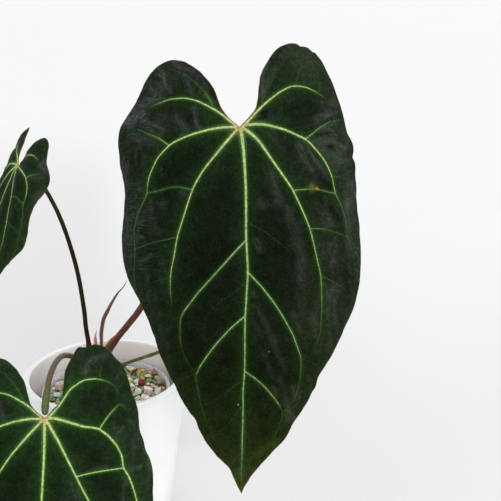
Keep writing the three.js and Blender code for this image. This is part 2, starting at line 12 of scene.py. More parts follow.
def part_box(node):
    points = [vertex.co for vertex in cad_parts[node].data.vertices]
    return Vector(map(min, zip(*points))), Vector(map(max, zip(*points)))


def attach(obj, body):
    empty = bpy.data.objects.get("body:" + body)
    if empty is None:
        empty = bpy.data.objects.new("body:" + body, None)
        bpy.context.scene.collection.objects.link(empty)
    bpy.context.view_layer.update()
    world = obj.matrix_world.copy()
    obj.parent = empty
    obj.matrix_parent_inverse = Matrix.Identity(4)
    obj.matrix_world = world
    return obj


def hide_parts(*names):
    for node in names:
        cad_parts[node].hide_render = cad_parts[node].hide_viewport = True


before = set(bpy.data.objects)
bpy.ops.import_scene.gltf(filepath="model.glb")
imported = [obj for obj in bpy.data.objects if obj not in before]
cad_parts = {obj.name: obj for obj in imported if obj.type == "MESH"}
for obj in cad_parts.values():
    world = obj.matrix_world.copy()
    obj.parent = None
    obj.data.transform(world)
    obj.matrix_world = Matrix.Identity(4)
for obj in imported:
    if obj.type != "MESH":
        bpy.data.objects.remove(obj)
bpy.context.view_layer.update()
RAD = math.pi / 180


# ---------------------------------------------------------------- numbers and curves
def hash01(ix, iy, iz, seed):
    h = (ix * 73856093) ^ (iy * 19349663) ^ (iz * 83492791) ^ (seed * 40503 + 977)
    h = (h ^ (h >> 13)) & 0x7FFFFFFF
    h = (h * 1274126177) & 0x7FFFFFFF
    h = h ^ (h >> 16)
    h = (h * 668265263) & 0x7FFFFFFF
    return ((h ^ (h >> 15)) & 0xFFFFFF) / float(0xFFFFFF)


def noise(p, seed=0):
    """Smooth value noise, -1..1, at points (n, 2) or (n, 3)."""
    p = np.asarray(p, float)
    if p.shape[1] == 2:
        p = np.column_stack([p, np.full(len(p), 0.37)])
    i = np.floor(p).astype(np.int64)
    f = p - i
    f = f * f * f * (f * (f * 6 - 15) + 10)
    out = np.zeros(len(p))
    for dx in (0, 1):
        wx = f[:, 0] if dx else 1 - f[:, 0]
        for dy in (0, 1):
            wy = f[:, 1] if dy else 1 - f[:, 1]
            for dz in (0, 1):
                wz = f[:, 2] if dz else 1 - f[:, 2]
                out += wx * wy * wz * hash01(i[:, 0] + dx, i[:, 1] + dy, i[:, 2] + dz, seed)
    return out * 2 - 1


def fbm(p, octaves=3, seed=0):
    out, amp, total = 0.0, 1.0, 0.0
    p = np.asarray(p, float)
    for k in range(octaves):
        out = out + amp * noise(p * 2.03 ** k, seed + 11 * k)
        total += amp
        amp *= 0.5
    return out / total


def table(pairs, t):
    a = np.asarray(pairs, float)
    return np.interp(t, a[:, 0], a[:, 1])


def step(a, b, x):
    """0 below a, 1 above b, smooth between."""
    t = np.clip((np.asarray(x, float) - a) / (b - a), 0, 1)
    return t * t * (3 - 2 * t)


def lin(r, g, b):
    """Linear colour of 0..255 display values."""
    c = np.array([r, g, b], float) / 255
    return np.where(c <= 0.04045, c / 12.92, ((c + 0.055) / 1.055) ** 2.4)


def mixc(a, b, f):
    f = np.clip(np.asarray(f, float), 0, 1)[:, None]
    return np.asarray(a) * (1 - f) + np.asarray(b) * f


def curve(points, per=24):
    """Dense points of a centripetal Catmull-Rom curve through points."""
    P = np.asarray(points, float)
    P = np.vstack([2 * P[0] - P[1], P, 2 * P[-1] - P[-2]])
    w = (np.arange(per) / per)[:, None]
    out = []
    for i in range(1, len(P) - 2):
        p0, p1, p2, p3 = P[i - 1:i + 3]
        d0, d1, d2 = (max(np.linalg.norm(b - a) ** 0.5, 1e-4) for a, b in ((p0, p1), (p1, p2), (p2, p3)))
        t1 = ((p1 - p0) / d0 - (p2 - p0) / (d0 + d1) + (p2 - p1) / d1) * d1
        t2 = ((p2 - p1) / d1 - (p3 - p1) / (d1 + d2) + (p3 - p2) / d2) * d1
        out.append(p1 + t1 * w + (-3 * p1 + 3 * p2 - 2 * t1 - t2) * w ** 2 + (2 * p1 - 2 * p2 + t1 + t2) * w ** 3)
    out.append(P[-2:-1])
    return np.vstack(out)


def resample(path, spacing=None, n=None):
    seg = np.linalg.norm(np.diff(path, axis=0), axis=1)
    s = np.r_[0, np.cumsum(seg)]
    n = n or max(2, int(round(s[-1] / spacing)) + 1)
    t = np.linspace(0, s[-1], n)
    return np.column_stack([np.interp(t, s, path[:, k]) for k in range(path.shape[1])])


# ---------------------------------------------------------------- meshes and node materials
def make_piece(name, verts_mm, faces, materials, face_material=None, smooth=True, floats=None, colours=None, uv=None, flat_faces=None):
    me = bpy.data.meshes.new(name)
    me.from_pydata((np.asarray(verts_mm, float) * 0.001).tolist(), [], [list(map(int, f)) for f in faces] if not isinstance(faces, np.ndarray) else faces.tolist())
    me.update()
    for m in materials:
        me.materials.append(m)
    if face_material is not None:
        me.polygons.foreach_set("material_index", np.asarray(face_material, np.int32))
    flags = np.full(len(me.polygons), bool(smooth))
    if flat_faces is not None:
        flags &= ~flat_faces
    me.polygons.foreach_set("use_smooth", flags)
    for key, value in (floats or {}).items():
        me.attributes.new(key, "FLOAT", "POINT").data.foreach_set("value", np.asarray(value, np.float32))
    for key, value in (colours or {}).items():
        rgba = np.ones((len(verts_mm), 4), np.float32)
        rgba[:, :3] = np.clip(value, 0, 1)
        me.attributes.new(key, "FLOAT_COLOR", "POINT").data.foreach_set("color", rgba.ravel())
    if uv is not None:
        layer = me.uv_layers.new(name="OFBake")
        index = np.zeros(len(me.loops), np.int32)
        me.loops.foreach_get("vertex_index", index)
        layer.data.foreach_set("uv", np.asarray(uv, np.float32)[index].ravel())
    ob = bpy.data.objects.new(name, me)
    bpy.context.scene.collection.objects.link(ob)
    return ob


def place(ob, slot, *nodes):
    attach(ob, "root")
    if nodes:
        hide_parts(*nodes)
    return ob


class Mat:
    """A node material round one Principled shader."""

    def __init__(self, name, **sockets):
        self.m = bpy.data.materials.new(name)
        self.m.use_nodes = True
        self.t = self.m.node_tree
        self.t.nodes.clear()
        self.out = self.t.nodes.new("ShaderNodeOutputMaterial")
        self.b = self.t.nodes.new("ShaderNodeBsdfPrincipled")
        self.t.links.new(self.b.outputs[0], self.out.inputs[0])
        for k, v in sockets.items():
            self.set(k.replace("_", " "), v)

    def set(self, socket, value):
        self.b.inputs[socket].default_value = (*value, 1.0) if isinstance(value, (tuple, list, np.ndarray)) and len(value) == 3 and socket not in ("Subsurface Radius",) else value

    def link(self, socket, source):
        self.t.links.new(source, self.b.inputs[socket])

    def node(self, kind, **inputs):
        n = self.t.nodes.new(kind)
        for k, v in inputs.items():
            if k.startswith("p_"):
                setattr(n, k[2:], v)
        for k, v in inputs.items():
            if k.startswith("p_"):
                continue
            key = int(k[1:]) if k[0] == "i" and k[1:].isdigit() else k.replace("_", " ")
            if isinstance(v, bpy.types.NodeSocket):
                self.t.links.new(v, n.inputs[key])
            else:
                n.inputs[key].default_value = v
        return n

    def attr(self, name, out="Fac"):
        n = self.node("ShaderNodeAttribute", p_attribute_name=name)
        return n.outputs[out]

    def coords(self):
        return self.node("ShaderNodeTexCoord").outputs["Object"]

    def noise(self, scale, detail=3.0, rough=0.5, vector=None, distortion=0.0, dims="3D"):
        n = self.node("ShaderNodeTexNoise", p_noise_dimensions=dims, Scale=scale, Detail=detail, Roughness=rough, Distortion=distortion)
        self.t.links.new(vector or self.coords(), n.inputs["Vector"])
        return n.outputs["Fac"]

    def voronoi(self, scale, feature="F1", vector=None, out="Distance", randomness=1.0, dims="3D"):
        n = self.node("ShaderNodeTexVoronoi", p_voronoi_dimensions=dims, p_feature=feature, Scale=scale, Randomness=randomness)
        self.t.links.new(vector or self.coords(), n.inputs["Vector"])
        return n.outputs[out]

    def stretch(self, scale, vector=None):
        n = self.node("ShaderNodeMapping", Scale=scale)
        self.t.links.new(vector or self.coords(), n.inputs["Vector"])
        return n.outputs[0]

    def ramp(self, source, a, b, to=(0.0, 1.0), smooth=True):
        n = self.node("ShaderNodeMapRange", p_interpolation_type="SMOOTHSTEP" if smooth else "LINEAR")
        self.t.links.new(source, n.inputs["Value"])
        n.inputs["From Min"].default_value, n.inputs["From Max"].default_value = a, b
        n.inputs["To Min"].default_value, n.inputs["To Max"].default_value = to
        return n.outputs[0]

    def math(self, op, a, b=None, c=None):
        n = self.node("ShaderNodeMath", p_operation=op)
        for k, v in enumerate((a, b, c)):
            if v is None:
                continue
            if isinstance(v, bpy.types.NodeSocket):
                self.t.links.new(v, n.inputs[k])
            else:
                n.inputs[k].default_value = v
        return n.outputs[0]

    def mix(self, a, b, fac, mode="MIX"):
        n = self.node("ShaderNodeMix", p_data_type="RGBA", p_blend_type=mode)
        for k, v in (("Factor", fac),):
            if isinstance(v, bpy.types.NodeSocket):
                self.t.links.new(v, n.inputs[0])
            else:
                n.inputs[0].default_value = v
        for k, v in ((6, a), (7, b)):
            if isinstance(v, bpy.types.NodeSocket):
                self.t.links.new(v, n.inputs[k])
            else:
                n.inputs[k].default_value = (*v, 1.0)
        return n.outputs[2]

    def bump(self, height, strength=0.3, distance=0.0005, normal=None):
        n = self.node("ShaderNodeBump", Strength=strength, Distance=distance)
        self.t.links.new(height, n.inputs["Height"])
        if normal is not None:
            self.t.links.new(normal, n.inputs["Normal"])
        return n.outputs[0]


# ---------------------------------------------------------------- blades
# Blade outlines on the blade: across to the right, down from the sinus. Sinus, left lobe, tip, right lobe.
MAIN_OUTLINE = [
    (-0.1, 0.1), (-6.2, -5.0), (-10.3, -9.7), (-13.4, -14.8), (-15.2, -19.2), (-18.4, -27.2), (-22.5, -32.8), (-26.8, -37.8), (-31.9, -42.6), (-37.5, -46.8),
    (-41.8, -49.1), (-51.1, -51.3), (-55.7, -50.6), (-61.3, -48.4), (-64.9, -45.7), (-69.6, -40.5), (-75.9, -29.3), (-82.2, -18.1), (-90.5, -9.0),
    (-96.8, -0.7), (-99.3, 5.9), (-99.9, 10.5), (-99.1, 18.6), (-98.3, 26.7), (-95.0, 35.7), (-92.3, 46.9), (-92.4, 54.9), (-92.9, 62.9), (-95.1, 74.7),
    (-97.0, 86.7), (-97.2, 93.9), (-96.6, 101.1), (-94.8, 108.1), (-90.5, 116.3), (-85.2, 123.9), (-80.0, 131.5), (-79.3, 133.7), (-75.3, 139.3),
    (-71.9, 145.2), (-69.5, 151.6), (-66.9, 158.0), (-65.1, 164.9), (-62.9, 171.6), (-57.8, 182.0), (-54.4, 190.7), (-51.3, 194.2), (-47.0, 202.2),
    (-42.6, 210.2), (-38.5, 215.5), (-34.1, 220.5), (-31.9, 227.3), (-28.7, 233.6), (-25.3, 239.8), (-18.2, 249.6), (-13.2, 255.1), (-8.4, 260.8),
    (-5.4, 269.6), (-2.2, 277.2), (0.7, 283.6), (3.0, 277.6), (6.2, 271.6), (9.2, 265.6), (14.9, 258.1), (21.5, 250.4), (28.5, 243.2), (35.0, 235.5), (40.7, 225.1),
    (46.4, 216.5), (52.1, 207.8), (55.3, 201.7), (58.9, 195.9), (60.9, 189.1), (67.0, 181.1), (73.5, 173.3), (77.7, 166.6), (82.1, 159.9), (86.2, 151.6),
    (90.6, 143.4), (94.2, 134.3), (96.3, 125.1), (98.2, 115.8), (99.1, 107.9), (99.6, 99.9), (99.3, 88.5), (98.3, 80.3), (97.6, 72.1), (95.4, 62.8),
    (93.7, 53.3), (93.1, 44.1), (91.8, 35.1), (91.4, 25.9), (89.1, 21.5), (90.1, 17.0), (89.6, 12.5), (87.9, 8.4), (83.9, 2.6), (81.0, -8.1),
    (78.0, -18.6), (74.5, -27.0), (70.8, -35.2), (66.4, -42.9), (62.3, -50.9), (58.4, -55.4), (56.6, -57.4), (54.2, -58.0), (51.0, -60.7), (47.2, -61.3), (44.6, -61.0), (43.0, -62.2), (40.2, -62.9), (35.8, -62.3),
    (27.7, -57.5), (20.7, -48.2), (15.3, -38.4), (14.4, -36.3), (13.5, -27.0), (12.4, -18.4), (11.4, -13.6), (9.3, -9.9), (5.0, -5.0), (1.0, -0.8),
]
FRONT_OUTLINE = [
    (0.0, 0.0), (-6.3, -5.1), (-10.9, -10.8), (-14.0, -18.2), (-16.6, -25.9), (-23.6, -36.0), (-33.0, -44.5), (-36.8, -46.6), (-45.0, -48.7),
    (-49.1, -48.0), (-53.9, -46.0), (-61.2, -38.4), (-66.8, -27.8), (-72.4, -17.2), (-79.1, -9.2), (-85.2, -0.7), (-87.4, 4.3), (-87.9, 7.6),
    (-86.5, 19.4), (-83.4, 26.6), (-81.2, 34.1), (-81.7, 45.7), (-83.7, 54.3), (-85.4, 63.0), (-85.0, 73.5), (-83.4, 78.6), (-79.7, 84.6), (-73.9, 91.4),
    (-68.7, 98.5), (-63.2, 105.5), (-58.9, 114.8), (-55.3, 124.7), (-51.4, 131.6), (-47.9, 138.7), (-45.1, 141.2), (-41.3, 147.0), (-37.5, 152.8),
    (-30.0, 160.3), (-28.1, 165.2), (-22.3, 174.3), (-16.0, 181.5), (-7.4, 189.6), (-4.0, 195.5), (-0.7, 201.5), (0.2, 205.0), (2.3, 199.5),
    (6.8, 192.9), (14.6, 185.7), (22.6, 178.5), (30.1, 170.9), (36.7, 161.0), (44.0, 151.5), (50.6, 141.6), (52.3, 136.5), (57.6, 130.5), (63.1, 124.6),
    (70.5, 114.6), (74.1, 108.3), (77.9, 102.1), (80.9, 95.2), (82.7, 88.3), (84.4, 81.3), (85.5, 69.2), (85.1, 59.6), (84.1, 50.0), (84.3, 43.4),
    (83.1, 34.7), (80.9, 28.5), (77.6, 22.6), (75.4, 14.0), (72.6, 7.8), (70.9, -0.3), (69.7, -8.4), (67.6, -15.4), (63.8, -24.2), (60.6, -33.2),
    (56.5, -42.0), (49.9, -48.6), (43.1, -55.1), (38.9, -57.5), (34.1, -58.1), (25.3, -55.0), (21.2, -55.0), (15.7, -44.7), (12.6, -36.1), (12.3, -24.5),
    (10.8, -13.5), (6.0, -7.1), (1.0, -0.9),
]

# How each blade hangs: lean is the forward tilt of the midrib at the sinus, in degrees, leanDown and
# leanUp its change per mm below and above it, bend the curvature across (1/mm), valley the depth and
# width of the sunken midrib, wave the height, length and phases of the slow waves toward the margins.
MAIN = dict(sinus=(126.2, -100, 391.8), yaw=0, roll=0, lean=15, leanDown=-0.045, leanUp=-0.26, bend=0.0066, valley=(3.5, 16), wave=(2.2, 88, 0.4, 2.6))
FRONT = dict(sinus=(-18.4, -150, 184.4), yaw=0, roll=0, lean=38, leanDown=-0.04, leanUp=-0.2, bend=0.0062, valley=(3.0, 14), wave=(2.0, 76, 1.2, 3.9))
LEFT = dict(sinus=(-78, 46, 330), yaw=-58, roll=-6, lean=30, leanDown=-0.08, leanUp=-0.3, bend=0.008, valley=(2.5, 12), wave=(1.6, 62, 2.2, 0.7))
LEFT_SIZE = 0.62


def on_blade(B, u, v):
    a0 = B["lean"] * RAD
    b = np.where(v > 0, B["leanDown"], B["leanUp"]) * RAD
    a = a0 + b * v
    cy = -(math.cos(a0) - np.cos(a)) / b
    cz = -(np.sin(a) - math.sin(a0)) / b
    th = B["bend"] * u
    vh, vs = B["valley"]
    wh, wl, pl, pr = B["wave"]
    back = (1 - np.cos(th)) / B["bend"] + vh * np.exp(-(u / vs) ** 2) \
        + wh * (u / 80) ** 2 * np.sin(2 * math.pi * v / wl + np.where(u < 0, pl, pr))
    X = np.sin(th) / B["bend"]
    Y = cy + back * np.cos(a) - vh * math.cos(a0)
    Z = cz - back * np.sin(a) + vh * math.sin(a0)
    c, s = math.cos(B["roll"] * RAD), math.sin(B["roll"] * RAD)
    X, Z = c * X + s * Z, -s * X + c * Z
    c, s = math.cos(B["yaw"] * RAD), math.sin(B["yaw"] * RAD)
    X, Y = c * X - s * Y, s * X + c * Y
    return np.column_stack([X, Y, Z]) + np.asarray(B["sinus"], float)


def blade_axes(B, u, v, e=0.4):
    """Point, direction across, direction down and upper-side normal of the blade's middle surface."""
    du = on_blade(B, u + e, v) - on_blade(B, u - e, v)
    dv = on_blade(B, u, v + e) - on_blade(B, u, v - e)
    du /= np.linalg.norm(du, axis=1)[:, None]
    dv /= np.linalg.norm(dv, axis=1)[:, None]
    n = np.cross(dv, du)
    n /= np.linalg.norm(n, axis=1)[:, None]
    return on_blade(B, u, v), du, dv, n


# Veins of the main blade: points, widths and strengths (share of the length, value), rank.
# Rank 0 is a main vein from the sinus, 1 a side vein, 2 a faint one.
MAIN_VEINS = [
    [[(0.4, 0.6), (0.9, 2.3), (2.1, 10.7), (3, 19.2), (3.8, 32), (4.4, 44.8), (4.6, 56.3), (4.6, 79.4), (5.3, 92.5), (5.9, 105.6), (5.2, 117.5), (4.5, 129.4), (3.8, 141.3), (3.6, 168), (3.4, 181.3), (2.2, 197), (2.2, 210.1), (2, 223.2), (1.5, 236.3), (1.2, 255.2), (0.7, 267.1), (0.5, 277.5)],
     [(0, 3.1), (.07, 2.7), (.2, 2.3), (.45, 1.8), (.6, 1.35), (.7, 1.15), (.85, .95), (.94, .7), (1, .4)], [(0, 1), (.08, .90), (.14, .85), (.2, .81), (.3, .75), (.4, .70), (.5, .68), (.61, .67), (.72, .67), (.88, .66), (.94, .5), (1, .22)], 0],
    [[(0, .6), (-3.6, -1.6), (-8.2, -5.0), (-12.2, -8.4), (-17.4, -11.6), (-30.1, -18.0), (-38.7, -20.5), (-50.9, -20.5), (-63.1, -17.1), (-68.9, -14.3)],
     [(0, 2.1), (.4, 1.5), (.8, 1.0), (1, .5)], [(0, 1), (.3, .85), (.75, .7), (.9, .5), (1, .12)], 0],
    [[(-.6, .5), (-11.2, .8), (-19.8, 2.1), (-34.1, 5.6), (-42.6, 8.6), (-48.2, 11), (-53.2, 14.1), (-62, 22.6), (-66.5, 30.5), (-69.1, 36.1), (-70.4, 41.9), (-70.9, 47.8), (-71.7, 50.6), (-79.3, 64.4), (-83, 76.6), (-83.7, 83), (-83, 92.3), (-84.3, 105), (-84.5, 111.2)],
     [(0, 2.2), (.28, 1.8), (.31, 1.4), (.5, 1.2), (.53, .95), (.75, .85), (.82, .6), (1, .5)], [(0, 1), (.3, .95), (.5, .8), (.56, .6), (.66, .40), (.78, .38), (.88, .36), (1, .30)], 0],
    [[(-52.4, 13.4), (-60.7, 7.8), (-69.9, 4.4), (-79, .8)], [(0, 1.1), (1, .7)], [(0, .75), (.6, .5), (1, .3)], 1],
    [[(0, 1), (-2.1, 2.7), (-10.3, 12.1), (-18.3, 21.7), (-26.2, 31.4), (-32.4, 41.3), (-34.8, 46.5), (-38.8, 57.6), (-42.6, 68.9), (-46.4, 80.1), (-49, 93.5), (-52, 106.9), (-52.6, 119), (-51.4, 130.8)],
     [(0, 2.3), (.38, 1.6), (.42, 1.3), (.64, 1.1), (.85, .8), (1, .5)], [(0, 1), (.15, .88), (.4, .82), (.65, .85), (.85, .72), (.94, .5), (1, .2)], 0],
    [[(-34.6, 45.5), (-44.1, 43.5), (-50.6, 43.9), (-60.5, 46.3), (-70.4, 48.4)], [(0, .95), (1, .7)], [(0, .55), (.5, .4), (1, .5)], 1],
    [[(-46.4, 80.2), (-55.9, 82.6), (-64.2, 84.5), (-73.1, 87.6), (-82.5, 91)], [(0, .9), (1, .6)], [(0, .4), (.5, .28), (1, .25)], 1],
    [[(4.6, 82.2), (-2.5, 89.4), (-11.6, 99.6), (-20.8, 109.8), (-30, 120), (-35.6, 127.3), (-41.2, 134.7), (-44.1, 140.1), (-44.7, 143.1), (-45.1, 152.3), (-44.9, 158.4), (-43.8, 164.6), (-39, 175.8), (-33.1, 182.6)],
     [(0, 1.5), (.1, 1.25), (.55, 1.05), (.65, .9), (1, .5)], [(0, .76), (.3, .66), (.55, .66), (.62, .54), (.72, .4), (.85, .2), (1, .1)], 1],
    [[(3.9, 138.4), (-1.5, 143.1), (-6, 146.9), (-12.2, 153.4), (-18.1, 160.1), (-23.6, 167.5), (-30.5, 178.3), (-32.9, 184.1), (-33.1, 187.2), (-32.3, 193.5), (-29.2, 208.9), (-25.1, 220.8), (-19.5, 232.3)],
     [(0, 1.3), (.1, 1.1), (.5, .95), (.6, .7), (1, .5)], [(0, .75), (.48, .68), (.54, .4), (.7, .2), (1, .07)], 1],
    [[(.6, .6), (4.6, -2.4), (9.6, -7.8), (14.6, -12.9), (18.2, -16.2), (29, -24.8), (37.1, -29.3), (43.1, -30.1), (49.1, -29.5), (51.9, -28.6), (59.5, -25.5), (65.6, -21.5)],
     [(0, 2.5), (.3, 1.9), (.55, 1.4), (.75, 1.0), (1, .6)], [(0, 1), (.5, .9), (.62, .88), (.78, .76), (.9, .55), (1, .25)], 0],
    [[(.8, .1), (3.8, -.9), (12.3, -1.5), (18, -1.1), (32, 2.2), (40.2, 5.4), (48.3, 8.9), (52.8, 12.4), (59, 18.8), (64.8, 25.8), (70.2, 36.5), (73.2, 48.1), (79.4, 59.1), (81.7, 64.9), (83.4, 70.9), (85.8, 83), (89.3, 92)],
     [(0, 2.6), (.3, 2.0), (.38, 1.6), (.6, 1.15), (.8, .8), (1, .6)], [(0, 1), (.35, .95), (.55, .78), (.68, .6), (.76, .45), (.88, .34), (1, .26)], 0],
    [[(48.3, 8.9), (54.5, 4.2), (59.8, .2), (69, -5.2)], [(0, 1.1), (1, .7)], [(0, .7), (1, .5)], 1],
    [[(1.2, 1), (4.6, 2.6), (11.3, 8), (15.1, 12.3), (22.8, 23.2), (30.6, 34), (38.4, 44.9), (43.1, 54), (47.6, 63.2), (52.3, 74), (55.6, 85.5), (58.4, 97.1), (61.3, 108.7), (62.5, 123.7), (62.8, 136.2), (62.1, 151.8), (60.8, 157.9), (55.9, 168.8)],
     [(0, 2.8), (.2, 2.0), (.4, 1.5), (.6, 1.1), (.85, .9), (1, .5)], [(0, 1), (.1, .87), (.25, .92), (.4, .78), (.62, .64), (.76, .55), (.9, .33), (1, .12)], 0],
    [[(38.8, 45.9), (50.1, 45.1), (56.5, 45), (64.6, 46.9), (72.8, 48.7)], [(0, 1.0), (1, .8)], [(0, .7), (.5, .55), (1, .6)], 1],
    [[(52.5, 74), (63.9, 75.1), (70.8, 76.8), (85.3, 81.9)], [(0, .9), (1, .65)], [(0, .55), (.5, .38), (1, .3)], 1],
    [[(61.4, 109.4), (66, 111.9), (72, 114.9), (84.7, 123)], [(0, .8), (1, .5)], [(0, .35), (1, .1)], 1],
    [[(5.5, 105.2), (10.8, 110.7), (16.7, 117.1), (23.9, 126.4), (28.9, 133.9), (34.3, 143.3), (39.4, 152.9), (42.8, 161.8), (45.9, 170.8), (46.3, 173.7), (46.2, 182.8), (45.5, 188.9), (44.2, 194.9), (42.2, 200.7), (39.5, 206.2), (33.3, 212.7)],
     [(0, 1.5), (.1, 1.2), (.58, .95), (.66, .8), (1, .5)], [(0, .76), (.58, .66), (.66, .48), (.8, .32), (1, .2)], 1],
    [[(3.3, 181), (12, 186.9), (18.7, 193.1), (26.6, 203.1), (31.5, 211.4), (32.1, 214.3), (31, 220.3), (27.9, 229.4), (22.6, 241.1)],
     [(0, 1.2), (.1, .95), (.5, .85), (.6, .65), (1, .45)], [(0, .75), (.5, .62), (.56, .3), (1, .1)], 1],
    [[(4.8, 68), (6.9, 69.6), (19.8, 76.8), (32.7, 87.1), (42, 96)], [(0, .9), (1, .4)], [(0, .22), (.7, .14), (1, .02)], 2],
    [[(2.1, 207), (-8, 221.5), (-18.7, 232.1)], [(0, .8), (1, .5)], [(0, .2), (1, .06)], 2],
    [[(3, 189), (-3, 191.1), (-12, 198.7), (-23, 205.8), (-30.5, 208)], [(0, .8), (1, .5)], [(0, .2), (1, .08)], 2],
    [[(5.4, 112.6), (-5, 121), (-16, 128.3), (-24.2, 136.6)], [(0, .8), (1, .5)], [(0, .14), (1, .04)], 2],
    [[(39.8, -30), (43.3, -42), (45.6, -51.4)], [(0, .9), (1, .5)], [(0, .3), (1, .06)], 2],
    [[(14.9, -15.6), (19.6, -25.9), (26.1, -37.8), (34.3, -50.3)], [(0, .9), (1, .5)], [(0, .3), (1, .12)], 2],
    [[(-51.7, -43.3), (-38.1, -37.2), (-25.1, -24.5), (-17.9, -13.6)], [(0, .7), (1, .6)], [(0, .15), (.6, .3), (1, .4)], 2],
    [[(-78.9, .6), (-91.8, 7.9), (-97, 17.2)], [(0, .8), (1, .5)], [(0, .22), (1, .08)], 2],
    [[(-52.6, 110.3), (-65.6, 115.1), (-81.6, 122.4)], [(0, .7), (1, .5)], [(0, .16), (1, .05)], 2],
    [[(-44.7, 145.9), (-57.6, 150.5), (-66.3, 157.3)], [(0, .7), (1, .5)], [(0, .16), (1, .05)], 2],
    [[(63.3, 140.9), (74.1, 147.9), (86.2, 156.5)], [(0, .7), (1, .5)], [(0, .15), (1, .05)], 2],
    [[(47.4, 172.6), (57.3, 178.1), (65.5, 185.4)], [(0, .7), (1, .5)], [(0, .15), (1, .05)], 2],
    [[(85.4, 81.4), (92.4, 85), (98.6, 87.8)], [(0, .7), (1, .5)], [(0, .15), (1, .05)], 2],
    [[(69.5, -4.8), (77.8, -7.5), (83.3, -8.8)], [(0, .7), (1, .5)], [(0, .3), (1, .1)], 2],
    [[(-68.3, -14), (-78, -12.7), (-84.5, -13.2)], [(0, .7), (1, .5)], [(0, .15), (1, .05)], 2],
    [[(65.6, -21.5), (69, -12.4), (73.3, .1), (77.6, 13.4)], [(0, .8), (1, .6)], [(0, .2), (1, .12)], 2],
    [[(89.3, 92), (90.8, 101), (91.6, 113), (91, 124), (88.8, 138)], [(0, .8), (1, .5)], [(0, .25), (1, .08)], 2],
    [[(-84.5, 111.2), (-83.4, 119), (-80.6, 128), (-78.6, 137)], [(0, .7), (1, .5)], [(0, .34), (1, .08)], 2],
    [[(33.3, 212.7), (40.4, 215.9), (46.8, 218.4)], [(0, .6), (1, .4)], [(0, .15), (1, .05)], 2],
    [[(-33.2, 182.8), (-42.6, 187.5), (-49.2, 194.8)], [(0, .6), (1, .4)], [(0, .15), (1, .05)], 2],
]

